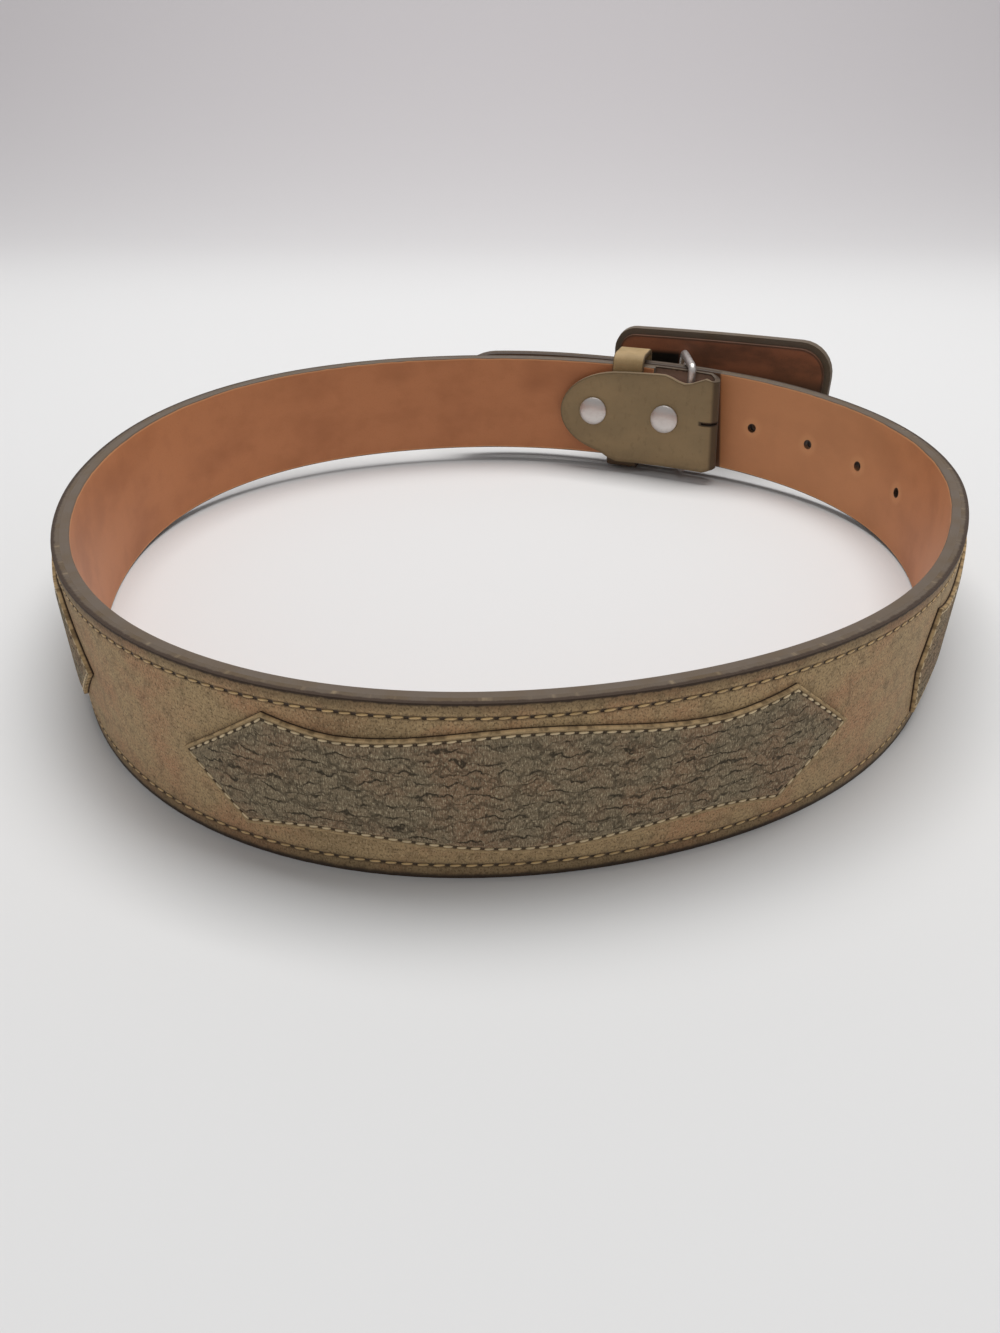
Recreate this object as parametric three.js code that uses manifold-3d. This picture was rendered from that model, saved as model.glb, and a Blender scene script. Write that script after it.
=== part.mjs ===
// A western belt with a leather covered plate buckle, closed into its ring and resting on its edge.
// Millimetres, +Z up. The near side is towards -Y, and the buckle is at the far right.
// A place on the strap is a run along it from the buckle fold, a depth inwards from its outer face, and a
// height above its lower edge.
import * as THREE from "three";
import { mergeVertices } from "three/addons/utils/BufferGeometryUtils.js";
import Module from "manifold-3d";

const wasm = await Module();
wasm.setup();

// The ring, seen from above. Angles are in degrees, counter-clockwise from +X.
const LOOP_CENTRE = new THREE.Vector2(-2.3, -2.6);
const LOOP_RADIUS = 133.8;
// The leather springs out of round: each wave has its count round the ring, its size and one crest's angle.
const LOOP_WAVES = [
  { count: 2, size: 3.6, crest: 23.7 },
  { count: 3, size: 4.6, crest: 23.3 },
  { count: 4, size: 0.7, crest: 47.3 },
  { count: 5, size: 1.5, crest: 17.7 },
  { count: 6, size: 0.5, crest: 22.4 },
];
const FOLD_ANGLE = 51;
const LAST_ANGLE = 463;
const ANGLE_STEP = 0.25;
const BUCKLE_END_INSET = { size: 6.2, from: 60, to: 130 };
const TIP_END_OUTSET = { size: 4.0, from: 424, to: 452 };
const FAR_SIDE_LIFT = 6;

// The strap.
const STRAP_LENGTH = 955;
const STRAP_NEAR_RUN = 507;
const STRAP_WIDE = { width: 44.45, reach: 60 };
const STRAP_NARROW = { width: 38.1, reach: 295 };
// A rounded end's last section lies this many degrees round its arc, short of the full quarter.
const LAST_TURN = 84;
const TIP_ROUND = 19;
const STATION = 7.5;
const TIP_STATIONS = 8;
const FACE_THICKNESS = 2.1;
const LINING_THICKNESS = 2.1;
const GLUE_GAP = 0.3;
const STRAP_THICKNESS = FACE_THICKNESS + GLUE_GAP + LINING_THICKNESS;
const LINING_START = 24;
const EDGE_BEVEL = 0.5;
const HOLE = { diameter: 3.3, first: 747, pitch: 25.4, count: 5, sides: 12, outside: 2, inside: 5.5 };

// The tab: the face leather turned back inwards at the buckle end.
const TAB_DEPTH = 6.6;
const TAB_END_DEPTH = 5.6;
const TAB_AT_FOLD = { low: 0.1, high: 37.8 };
const TAB_AT_TONGUE = { low: -1.1, high: 35.8 };
const TAB_SETTLE = { from: 41, to: 62 };
const TONGUE = { start: 37, reach: 25.7, middle: 18.6, half: 17.0 };
const TONGUE_STATIONS = 9;
const NOTCH = { from: -2.5, to: 20, depth: 3.0 };
const SLIT = { from: -5.2, to: 1.2, height: 19.9, width: 1.0 };
const FOLD_STATIONS = 8;
// How far the fold's own edges draw in at the middle of the bend.
const FOLD_DRAW = 1.4;

// The sewn overlays: a long shape with scalloped sides between two pointed ends, a little above the middle.
// The first is cut askew at its left end, with its upper corner further from the point than its lower one.
const OVERLAY_THICKNESS = 1.2;
const OVERLAY_CORNER_HALF = 15.1;
const OVERLAY_DIP_HALF = 12.3;
const OVERLAY_MIDDLE_HALF = 15.5;
const OVERLAY_POINT_HALF = 0.8;
// The dip lies at this share of the way to the corner, and the side then rises to it in a hollow curve.
const OVERLAY_DIP_SHARE = 0.7;
const OVERLAY_HOLLOW = 1.6;
const OVERLAY_BEVEL = 0.3;
const OVERLAYS = [
  { name: "overlay_long_1", middle: 509.9, half: 75.2, corner: 57.3, skew: 3.6, raise: 1.0 },
  { name: "overlay_long_2", middle: 319.8, half: 75.2, corner: 57.3, skew: 0, raise: 1.0 },
  { name: "overlay_short_1", middle: 673.7, half: 56.0, corner: 38.0, skew: 0, raise: 1.8 },
  { name: "overlay_short_2", middle: 156.1, half: 56.0, corner: 38.0, skew: 0, raise: 1.0 },
];

// The press snaps through the tab: cap and foot heights are along the snap's own axis.
const SNAP = { cap: 11.2, capHeight: 2.0, rim: 0.6, post: 4.0, foot: 8.0, footHeight: 0.7, sides: 20 };
// The cap's crown, as shares of its radius and of its height.
const SNAP_CROWN = [
  { reach: 0.76, rise: 0.75 },
  { reach: 0.4, rise: 0.94 },
];
const SNAP_HOLE = 4.7;
const SNAP_HOLE_REACH = 10;
const SNAP_CLEARANCE = 0.35;
const SNAPS = [
  { name: "snap_1", run: 17.2, height: 19.4 },
  { name: "snap_2", run: 48.2, height: 19.2 },
];

// The keeper: a loose loop of leather round the tip.
const KEEPER = { run: 35, width: 12.6, thickness: 1.8, innerThickness: 1.5 };
const KEEPER_BELOW = 4.7;
const KEEPER_ABOVE = 4.2;
const KEEPER_SLACK = 2.6;
const KEEPER_CORNER = 4;
const KEEPER_CORNER_STEPS = 4;

// The buckle plate stands on its lower edge behind the strap.
// Its corners are tighter at the end by the fold than at the end by the tip.
const PLATE = { length: 90, height: 53, thickness: 4.6, foldCorner: 6, tipCorner: 16, bow: 400, bevel: 1.2 };
const PLATE_MIDDLE = new THREE.Vector2(88.3, 125.6);
const PLATE_TURN = -20.5;
const PLATE_STATIONS = 12;
const PLATE_CORNER = { steps: 8, firstTurn: 4 };
const BACKING = { inset: 2.4, thickness: 1.2, bevel: 0.4 };

// The bail: a wire loop from the fold to the back of the plate.
const BAIL = { wire: 3.2, corner: 2.1, clearance: 0.35, sides: 10, cornerSteps: 4 };
const BAIL_RUN = 8.7;
const BRACKET = { outer: 3.1, play: 0.35, length: 18, foot: 9, sides: 20 };
const BRACKET_ALONG_PLATE = -14.8;

// The stud on the back of the plate.
const STUD = { foot: 9, footHeight: 1, post: 3.6, length: 7.5, head: 5.2, rim: 0.6, taper: 0.5, sides: 20 };
const STUD_ALONG_PLATE = 27;

// Finishes.
const COLOURS = {
  face: 0x8f7b58,
  lining: 0x9a5f3d,
  overlay: 0x6f6450,
  keeper: 0xa58a64,
  plate: 0x7c6c4f,
  backing: 0x4c3025,
  metal: 0xc9c9cc,
};

const radians = THREE.MathUtils.degToRad;
const smooth = THREE.MathUtils.smoothstep;

// The path of the strap's outer face, seen from above.
function pathRadius(angle) {
  const waves = LOOP_WAVES.reduce(
    (sum, wave) => sum + wave.size * Math.cos(radians(wave.count * (angle - wave.crest))),
    0,
  );
  const inset = BUCKLE_END_INSET.size * (1 - smooth(angle, BUCKLE_END_INSET.from, BUCKLE_END_INSET.to));
  const outset = TIP_END_OUTSET.size * smooth(angle, TIP_END_OUTSET.from, TIP_END_OUTSET.to);
  return LOOP_RADIUS + waves - inset + outset;
}

function pathPoint(angle) {
  const radius = pathRadius(angle);
  return new THREE.Vector2(Math.cos(radians(angle)), Math.sin(radians(angle)))
    .multiplyScalar(radius)
    .add(LOOP_CENTRE);
}

function liftAt(angle) {
  return FAR_SIDE_LIFT * smooth(Math.sin(radians(angle)), 0, 1);
}

// Run and angle at each small step along the path.
const steps = [{ angle: FOLD_ANGLE, run: 0 }];
while (steps.at(-1).angle < LAST_ANGLE) {
  const last = steps.at(-1);
  const angle = last.angle + ANGLE_STEP;
  const run = last.run + pathPoint(angle).distanceTo(pathPoint(last.angle));
  steps.push({ angle, run });
}

function angleAt(run) {
  const next = Math.max(1, steps.findIndex((step) => step.run >= run));
  const [a, b] = [steps[next - 1], steps[next]];
  return a.angle + ((b.angle - a.angle) * (run - a.run)) / (b.run - a.run);
}

// The strap's own directions at a run: its place, the way along it, the way inwards, and its lift.
function frameAt(run) {
  const angle = angleAt(run);
  const along = pathPoint(angle + ANGLE_STEP).sub(pathPoint(angle - ANGLE_STEP)).normalize();
  const inward = new THREE.Vector2(-along.y, along.x);
  return { place: pathPoint(angle), along, inward, lift: liftAt(angle) };
}

function planAt(run, depth) {
  const frame = frameAt(run);
  return frame.place.clone().addScaledVector(frame.inward, depth);
}

function widthAt(run) {
  const away = Math.abs(run - STRAP_NEAR_RUN);
  const share = smooth(away, STRAP_WIDE.reach, STRAP_NARROW.reach);
  return STRAP_WIDE.width + (STRAP_NARROW.width - STRAP_WIDE.width) * share;
}

// The lower and upper edge of the strap, rounded off at the tip.
function edgesAt(run) {
  const width = widthAt(run);
  const past = Math.max(0, run - (STRAP_LENGTH - TIP_ROUND)) / TIP_ROUND;
  const half = (width / 2) * Math.sqrt(Math.max(0, 1 - past * past));
  return { low: width / 2 - half, high: width / 2 + half };
}

// A closed solid through sections of equal count, each a flat convex ring of points.
function loft(sections) {
  const count = sections[0].length;
  const points = sections.flat();
  const triangles = [];
  for (let s = 0; s + 1 < sections.length; s++)
    for (let i = 0; i < count; i++) {
      const j = (i + 1) % count;
      const [a, b] = [s * count + i, s * count + j];
      triangles.push(a, b, b + count, a, b + count, a + count);
    }
  const last = (sections.length - 1) * count;
  for (let i = 1; i + 1 < count; i++) {
    triangles.push(0, i + 1, i);
    triangles.push(last, last + i, last + i + 1);
  }
  return closedGeometry(points, triangles);
}

// A closed ring through sections of equal count.
function loftRing(sections) {
  const count = sections[0].length;
  const total = sections.length * count;
  const triangles = [];
  for (let s = 0; s < sections.length; s++)
    for (let i = 0; i < count; i++) {
      const [a, b] = [s * count + i, s * count + ((i + 1) % count)];
      const [c, d] = [(a + count) % total, (b + count) % total];
      triangles.push(a, b, d, a, d, c);
    }
  return closedGeometry(sections.flat(), triangles);
}

// An indexed geometry whose faces point outwards.
function closedGeometry(points, triangles) {
  let volume = 0;
  for (let i = 0; i < triangles.length; i += 3) {
    const [a, b, c] = [points[triangles[i]], points[triangles[i + 1]], points[triangles[i + 2]]];
    volume += a.dot(b.clone().cross(c));
  }
  const index = volume < 0 ? triangles.slice().reverse() : triangles;
  const geometry = new THREE.BufferGeometry().setFromPoints(points);
  geometry.setIndex(index);
  return geometry;
}

function solidOf(geometry) {
  const bare = geometry.clone();
  bare.deleteAttribute("normal");
  bare.deleteAttribute("uv");
  const merged = mergeVertices(bare, 1e-3);
  return new wasm.Manifold(
    new wasm.Mesh({
      numProp: 3,
      vertProperties: new Float32Array(merged.attributes.position.array),
      triVerts: new Uint32Array(merged.index.array),
    }),
  );
}

function geometryOf(solid) {
  const mesh = solid.getMesh();
  const geometry = new THREE.BufferGeometry();
  geometry.setAttribute("position", new THREE.BufferAttribute(mesh.vertProperties, 3));
  geometry.setIndex(new THREE.BufferAttribute(mesh.triVerts, 1));
  return geometry;
}

function cutAll(geometry, cutters) {
  return geometryOf(cutters.reduce((solid, cutter) => solid.subtract(solidOf(cutter)), solidOf(geometry)));
}

// A leather section: the face side and the flesh side seen from above, with small bevels on the face side's
// edges, and on the flesh side's where asked for.
function leatherSection(faceSide, fleshSide, low, high, faceBevel, fleshBevel) {
  const through = fleshSide.clone().sub(faceSide);
  const faceIn = faceSide.clone().addScaledVector(through.clone().normalize(), faceBevel);
  const fleshIn = fleshSide.clone().addScaledVector(through.clone().normalize(), -fleshBevel);
  const at = (plan, z) => new THREE.Vector3(plan.x, plan.y, z);
  const edgeBevel = Math.min(faceBevel, (high - low) / 4);
  const ring = [
    at(faceSide, low + edgeBevel),
    at(faceSide, high - edgeBevel),
    at(faceIn, high),
    at(fleshIn, high),
    at(fleshIn, low),
    at(faceIn, low),
  ];
  if (fleshBevel > 0) {
    const drop = Math.min(fleshBevel, (high - low) / 4);
    ring.splice(4, 0, at(fleshSide, high - drop), at(fleshSide, low + drop));
  }
  return ring;
}

function strapSection(run, faceDepth, fleshDepth, edges, faceBevel, fleshBevel) {
  const { lift } = frameAt(run);
  return leatherSection(
    planAt(run, faceDepth),
    planAt(run, fleshDepth),
    lift + edges.low,
    lift + edges.high,
    faceBevel,
    fleshBevel,
  );
}

// Runs of the sections along the strap, closer together round the tip.
function strapRuns(start) {
  const straight = STRAP_LENGTH - TIP_ROUND;
  const count = Math.ceil((straight - start) / STATION);
  const runs = Array.from({ length: count + 1 }, (_, i) => start + ((straight - start) * i) / count);
  for (let i = 1; i <= TIP_STATIONS; i++)
    runs.push(straight + TIP_ROUND * Math.sin(radians((LAST_TURN * i) / TIP_STATIONS)));
  return runs;
}

function tabDepth(run) {
  const settled = THREE.MathUtils.clamp(
    (run - TAB_SETTLE.from) / (TAB_SETTLE.to - TAB_SETTLE.from),
    0,
    1,
  );
  return TAB_DEPTH + (TAB_END_DEPTH - TAB_DEPTH) * settled;
}

function tabEdges(run) {
  const wave = THREE.MathUtils.clamp((run - NOTCH.from) / (NOTCH.to - NOTCH.from), 0, 1);
  const notch = NOTCH.depth * Math.sin(Math.PI * wave) ** 2;
  const share = run / TONGUE.start;
  if (share <= 1)
    return {
      low: THREE.MathUtils.lerp(TAB_AT_FOLD.low, TAB_AT_TONGUE.low, share),
      high: THREE.MathUtils.lerp(TAB_AT_FOLD.high, TAB_AT_TONGUE.high, share) - notch,
    };
  const past = (run - TONGUE.start) / TONGUE.reach;
  const half = TONGUE.half * Math.sqrt(Math.max(0, 1 - past * past));
  const shoulder = 1 - smooth(run, TONGUE.start, TONGUE.start + TONGUE.reach / 3);
  return {
    low: TONGUE.middle - half + (TAB_AT_TONGUE.low - TONGUE.middle + TONGUE.half) * shoulder,
    high: TONGUE.middle + half + (TAB_AT_TONGUE.high - TONGUE.middle - TONGUE.half) * shoulder,
  };
}

function tabSections() {
  const sections = [];
  for (let i = TONGUE_STATIONS; i > 0; i--) {
    const run = TONGUE.start + TONGUE.reach * Math.sin(radians((LAST_TURN * i) / TONGUE_STATIONS));
    sections.push({ run, depth: tabDepth(run), edges: tabEdges(run) });
  }
  for (let i = TONGUE_STATIONS; i >= 0; i--) {
    const run = (TONGUE.start * i) / TONGUE_STATIONS;
    sections.push({ run, depth: tabDepth(run), edges: tabEdges(run) });
  }
  return sections.map(({ run, depth, edges }) =>
    strapSection(run, depth + FACE_THICKNESS, depth, edges, EDGE_BEVEL, 0),
  );
}

// The bend from the tab to the outer leather, round an upright axis inside the fold.
function foldSections() {
  const { along, inward, lift } = frameAt(0);
  const outer = (TAB_DEPTH + FACE_THICKNESS) / 2;
  const centre = planAt(0, outer);
  const inner = outer - FACE_THICKNESS;
  const strap = edgesAt(0);
  const tab = tabEdges(0);
  const sections = [];
  for (let i = 1; i < FOLD_STATIONS; i++) {
    const turn = (Math.PI * i) / FOLD_STATIONS;
    const way = inward.clone().multiplyScalar(Math.cos(turn)).addScaledVector(along, -Math.sin(turn));
    const share = i / FOLD_STATIONS;
    const draw = FOLD_DRAW * Math.sin(turn);
    sections.push(
      leatherSection(
        centre.clone().addScaledVector(way, outer),
        centre.clone().addScaledVector(way, inner),
        lift + THREE.MathUtils.lerp(tab.low, strap.low, share) + draw,
        lift + THREE.MathUtils.lerp(tab.high, strap.high, share) - draw,
        EDGE_BEVEL,
        0,
      ),
    );
  }
  return sections;
}

// A round cutter or pin through the strap, along its inward direction.
function pinThrough(run, height, diameter, fromDepth, toDepth, sides) {
  const { inward, lift } = frameAt(run);
  const length = toDepth - fromDepth;
  const geometry = new THREE.CylinderGeometry(diameter / 2, diameter / 2, length, sides);
  const way = new THREE.Vector3(inward.x, inward.y, 0);
  const plan = planAt(run, (fromDepth + toDepth) / 2);
  geometry.applyQuaternion(new THREE.Quaternion().setFromUnitVectors(new THREE.Vector3(0, 1, 0), way));
  geometry.translate(plan.x, plan.y, lift + height);
  return geometry;
}

function adjustingHoles() {
  return Array.from({ length: HOLE.count }, (_, i) => {
    const run = HOLE.first + HOLE.pitch * i;
    return pinThrough(run, widthAt(run) / 2, HOLE.diameter, -HOLE.outside, HOLE.inside, HOLE.sides);
  });
}

// A snap stands square on the tab, which leans a little past the keeper.
function placeOnSnapAxis(geometry, { run, height }) {
  const { along, inward, lift } = frameAt(run);
  const slope = (tabDepth(run + 1) - tabDepth(run - 1)) / 2;
  const way = inward.clone().addScaledVector(along, -slope).normalize();
  const plan = planAt(run, tabDepth(run) + FACE_THICKNESS);
  const axis = new THREE.Vector3(way.x, way.y, 0);
  geometry.applyQuaternion(new THREE.Quaternion().setFromUnitVectors(new THREE.Vector3(0, 1, 0), axis));
  return geometry.translate(plan.x, plan.y, lift + height);
}

function snapHole(snap) {
  const length = SNAP_HOLE_REACH * 2;
  const cutter = new THREE.CylinderGeometry(SNAP_HOLE / 2, SNAP_HOLE / 2, length, SNAP.sides);
  return placeOnSnapAxis(cutter, snap);
}

// The short cut in the bend and the tab that a buckle's tongue would pass through.
function slitCutter() {
  const { along, lift } = frameAt(0);
  const depth = TAB_DEPTH + FACE_THICKNESS;
  const geometry = new THREE.BoxGeometry(SLIT.to - SLIT.from, depth / 2, SLIT.width);
  const plan = planAt(0, depth).addScaledVector(along, (SLIT.from + SLIT.to) / 2);
  geometry.rotateZ(Math.atan2(along.y, along.x));
  geometry.translate(plan.x, plan.y, lift + SLIT.height);
  return geometry;
}

function strapFace() {
  const body = strapRuns(0).map((run) =>
    strapSection(run, 0, FACE_THICKNESS, edgesAt(run), EDGE_BEVEL, 0),
  );
  const whole = loft([...tabSections(), ...foldSections(), ...body]);
  return cutAll(whole, [...adjustingHoles(), ...SNAPS.map(snapHole), slitCutter()]);
}

function lining() {
  const outer = FACE_THICKNESS + GLUE_GAP;
  const sections = strapRuns(LINING_START).map((run) =>
    strapSection(run, STRAP_THICKNESS, outer, edgesAt(run), EDGE_BEVEL, 0),
  );
  const snaps = SNAPS.filter(({ run }) => run > LINING_START);
  return cutAll(loft(sections), [...adjustingHoles(), ...snaps.map(snapHole)]);
}

// Half the overlay's height at a distance from its middle: full, then a dip, a corner and a point.
function overlayHalf(away, half, corner) {
  if (away >= corner) {
    const share = (away - corner) / (half - corner);
    return THREE.MathUtils.lerp(OVERLAY_CORNER_HALF, OVERLAY_POINT_HALF, share);
  }
  const dip = corner * OVERLAY_DIP_SHARE;
  if (away >= dip) {
    const share = (away - dip) / (corner - dip);
    return THREE.MathUtils.lerp(OVERLAY_DIP_HALF, OVERLAY_CORNER_HALF, share ** OVERLAY_HOLLOW);
  }
  const wave = (1 - Math.cos((Math.PI * away) / dip)) / 2;
  return THREE.MathUtils.lerp(OVERLAY_MIDDLE_HALF, OVERLAY_DIP_HALF, wave);
}

function overlayGeometry(overlay) {
  const skewed = [overlay.corner + overlay.skew, overlay.corner - overlay.skew];
  const marks = [overlay.half, (overlay.half + skewed[0]) / 2];
  if (overlay.skew > 0) marks.push(...skewed);
  const count = Math.ceil(overlay.corner / STATION);
  for (let i = count; i > 0; i--) marks.push((overlay.corner * i) / count);
  marks.sort((a, b) => b - a);
  const offsets = [...marks.map((mark) => -mark), 0, ...marks.reverse()];
  const sections = offsets.map((offset) => {
    const run = overlay.middle + offset;
    const middle = widthAt(run) / 2 + overlay.raise;
    const [lowCorner, highCorner] = offset < 0 ? skewed : [overlay.corner, overlay.corner];
    const edges = {
      low: middle - overlayHalf(Math.abs(offset), overlay.half, lowCorner),
      high: middle + overlayHalf(Math.abs(offset), overlay.half, highCorner),
    };
    return strapSection(run, -GLUE_GAP - OVERLAY_THICKNESS, -GLUE_GAP, edges, OVERLAY_BEVEL, 0);
  });
  return loft(sections);
}

// A snap's profile from its foot outside the strap to the crown of its cap, along +Y of the lathe.
function snapGeometry(snap) {
  const underCap = SNAP_CLEARANCE;
  const footTop = -GLUE_GAP - tabDepth(snap.run) - FACE_THICKNESS;
  const profile = [
    [0, footTop - SNAP.footHeight],
    [SNAP.foot / 2, footTop - SNAP.footHeight],
    [SNAP.foot / 2, footTop],
    [SNAP.post / 2, footTop],
    [SNAP.post / 2, underCap],
    [SNAP.cap / 2, underCap],
    [SNAP.cap / 2, underCap + SNAP.rim],
    ...SNAP_CROWN.map(({ reach, rise }) => [(SNAP.cap / 2) * reach, underCap + SNAP.capHeight * rise]),
    [0, underCap + SNAP.capHeight],
  ].map(([x, y]) => new THREE.Vector2(x, y));
  return placeOnSnapAxis(new THREE.LatheGeometry(profile, SNAP.sides), snap);
}

// The corners of a rounded rectangle as points, counter-clockwise.
function roundedRectangle(left, right, low, high, corner, cornerSteps) {
  const corners = [
    { x: right - corner, y: low + corner, from: -90 },
    { x: right - corner, y: high - corner, from: 0 },
    { x: left + corner, y: high - corner, from: 90 },
    { x: left + corner, y: low + corner, from: 180 },
  ];
  return corners.flatMap(({ x, y, from }) =>
    Array.from({ length: cornerSteps + 1 }, (_, i) => {
      const turn = radians(from + (90 * i) / cornerSteps);
      return new THREE.Vector2(x + corner * Math.cos(turn), y + corner * Math.sin(turn));
    }),
  );
}

// The keeper's section is drawn in depth and height, and runs straight along the strap.
function keeperGeometry() {
  const { along, inward, lift, place } = frameAt(KEEPER.run);
  const tip = planAt(KEEPER.run + ringRun(), 0).sub(place).dot(inward);
  const innerFace = STRAP_THICKNESS + GLUE_GAP;
  const hole = {
    left: tip - KEEPER_SLACK,
    right: innerFace,
    low: -KEEPER_BELOW + KEEPER.thickness,
    high: widthAt(0) + KEEPER_ABOVE - KEEPER.thickness,
  };
  const right = hole.right + KEEPER.innerThickness;
  const outside = roundedRectangle(
    hole.left - KEEPER.thickness,
    right,
    hole.low - KEEPER.thickness,
    hole.high + KEEPER.thickness,
    KEEPER_CORNER,
    KEEPER_CORNER_STEPS,
  );
  const inside = roundedRectangle(
    hole.left,
    hole.right,
    hole.low,
    hole.high,
    KEEPER_CORNER - KEEPER.thickness,
    KEEPER_CORNER_STEPS,
  );
  const at = (point, side) => {
    const plan = place
      .clone()
      .addScaledVector(inward, point.x)
      .addScaledVector(along, (side * KEEPER.width) / 2);
    return new THREE.Vector3(plan.x, plan.y, lift + point.y);
  };
  const sections = outside.map((point, i) => [
    at(point, -1),
    at(point, 1),
    at(inside[i], 1),
    at(inside[i], -1),
  ]);
  return loftRing(sections);
}

// The run that lies one full turn further along the strap than the keeper.
function ringRun() {
  const start = angleAt(KEEPER.run);
  const next = steps.findIndex((step) => step.angle >= start + 360);
  return steps[next].run - KEEPER.run;
}

// A place on the plate: a distance along it from its middle and a distance out from its back face.
const plateAlong = new THREE.Vector2(Math.cos(radians(PLATE_TURN)), Math.sin(radians(PLATE_TURN)));
const plateOut = new THREE.Vector2(-plateAlong.y, plateAlong.x);

function platePlan(along, out) {
  const turn = along / PLATE.bow;
  const radius = PLATE.bow + out - PLATE.thickness / 2;
  return PLATE_MIDDLE.clone()
    .add(LOOP_CENTRE)
    .addScaledVector(plateAlong, radius * Math.sin(turn))
    .addScaledVector(plateOut, radius * Math.cos(turn) - PLATE.bow);
}

// Stations round the two corners at one end of a panel, from the end inwards.
function cornerStations(half, corner) {
  return Array.from({ length: PLATE_CORNER.steps + 1 }, (_, i) => {
    const turn = radians(THREE.MathUtils.lerp(PLATE_CORNER.firstTurn, 90, i / PLATE_CORNER.steps));
    return { along: half - corner + corner * Math.cos(turn), drop: corner * (1 - Math.sin(turn)) };
  });
}

// A panel that follows the plate's bow, drawn in from its outline, with round corners.
function panelGeometry(inset, back, front, bevels) {
  const half = PLATE.length / 2 - inset;
  const [low, high] = [inset, PLATE.height - inset];
  const tipEnd = cornerStations(half, PLATE.tipCorner - inset);
  const foldEnd = cornerStations(half, PLATE.foldCorner - inset);
  for (const station of foldEnd) station.along *= -1;
  const [first, last] = [tipEnd.at(-1).along, foldEnd.at(-1).along];
  const middle = Array.from({ length: PLATE_STATIONS - 1 }, (_, i) => ({
    along: THREE.MathUtils.lerp(first, last, (i + 1) / PLATE_STATIONS),
    drop: 0,
  }));
  const sections = [...tipEnd, ...middle, ...foldEnd.reverse()].map(({ along, drop }) =>
    leatherSection(
      platePlan(along, front),
      platePlan(along, back),
      low + drop,
      high - drop,
      bevels.front,
      bevels.back,
    ),
  );
  return loft(sections);
}

function plateGeometry() {
  return panelGeometry(0, 0, PLATE.thickness, { front: PLATE.bevel, back: PLATE.bevel / 2 });
}

function backingGeometry() {
  const outer = -GLUE_GAP - BACKING.thickness;
  return panelGeometry(BACKING.inset, -GLUE_GAP, outer, { front: BACKING.bevel, back: 0 });
}

// The bail's upright bars: one inside the fold, one in the bracket on the plate.
const fittingDepth = GLUE_GAP + BACKING.thickness + GLUE_GAP;
const bailBar = planAt(BAIL_RUN, FACE_THICKNESS + BAIL.clearance + BAIL.wire / 2);
const bailHinge = platePlan(BRACKET_ALONG_PLATE, -fittingDepth - BRACKET.outer);

function bailGeometry() {
  const { lift } = frameAt(BAIL_RUN);
  const across = bailHinge.clone().sub(bailBar);
  const reach = across.length();
  across.normalize();
  const low = lift - BAIL.clearance - BAIL.wire / 2;
  const high = lift + widthAt(BAIL_RUN) + BAIL.clearance + BAIL.wire / 2;
  const centres = roundedRectangle(0, reach, low, high, BAIL.corner, BAIL.cornerSteps);
  const side = new THREE.Vector3(-across.y, across.x, 0);
  const toWorld = (point) =>
    new THREE.Vector3(bailBar.x + across.x * point.x, bailBar.y + across.y * point.x, point.y);
  const sections = centres.map((point, i) => {
    const before = centres[(i + centres.length - 1) % centres.length];
    const after = centres[(i + 1) % centres.length];
    const way = after.clone().sub(before).normalize();
    const outwards = toWorld(point.clone().add(new THREE.Vector2(way.y, -way.x))).sub(toWorld(point));
    return Array.from({ length: BAIL.sides }, (_, k) => {
      const turn = (2 * Math.PI * k) / BAIL.sides;
      return toWorld(point)
        .addScaledVector(outwards, (BAIL.wire / 2) * Math.cos(turn))
        .addScaledVector(side, (BAIL.wire / 2) * Math.sin(turn));
    });
  });
  return loftRing(sections);
}

// A short barrel round the bail's far bar, with a foot against the back of the plate.
function bracketGeometry() {
  const { lift } = frameAt(BAIL_RUN);
  const shape = new THREE.Shape();
  const halfFoot = BRACKET.foot / 2;
  shape.moveTo(-halfFoot, BRACKET.outer);
  shape.lineTo(-BRACKET.outer, 0);
  shape.absarc(0, 0, BRACKET.outer, Math.PI, 2 * Math.PI, false);
  shape.lineTo(halfFoot, BRACKET.outer);
  shape.closePath();
  const bore = new THREE.Path();
  bore.absarc(0, 0, BAIL.wire / 2 + BRACKET.play, 0, 2 * Math.PI, true);
  shape.holes.push(bore);
  const geometry = new THREE.ExtrudeGeometry(shape, {
    depth: BRACKET.length,
    bevelEnabled: false,
    curveSegments: BRACKET.sides,
  });
  geometry.rotateZ(Math.atan2(plateAlong.y, plateAlong.x) - BRACKET_ALONG_PLATE / PLATE.bow);
  geometry.translate(bailHinge.x, bailHinge.y, lift + widthAt(BAIL_RUN) / 2 - BRACKET.length / 2);
  return geometry;
}

function studGeometry() {
  const profile = [
    [0, 0],
    [STUD.foot / 2, 0],
    [STUD.foot / 2, STUD.footHeight],
    [STUD.post / 2, STUD.footHeight],
    [STUD.post / 2, STUD.length - STUD.rim - 2 * STUD.taper],
    [STUD.head / 2, STUD.length - STUD.rim - STUD.taper],
    [STUD.head / 2, STUD.length - STUD.taper],
    [STUD.head / 4, STUD.length],
    [0, STUD.length],
  ].map(([x, y]) => new THREE.Vector2(x, y));
  const geometry = new THREE.LatheGeometry(profile, STUD.sides);
  const base = platePlan(STUD_ALONG_PLATE, -fittingDepth);
  const end = platePlan(STUD_ALONG_PLATE, -fittingDepth - 1).sub(base).normalize();
  const way = new THREE.Vector3(end.x, end.y, 0);
  geometry.applyQuaternion(new THREE.Quaternion().setFromUnitVectors(new THREE.Vector3(0, 1, 0), way));
  geometry.translate(base.x, base.y, PLATE.height / 2);
  return geometry;
}

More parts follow.
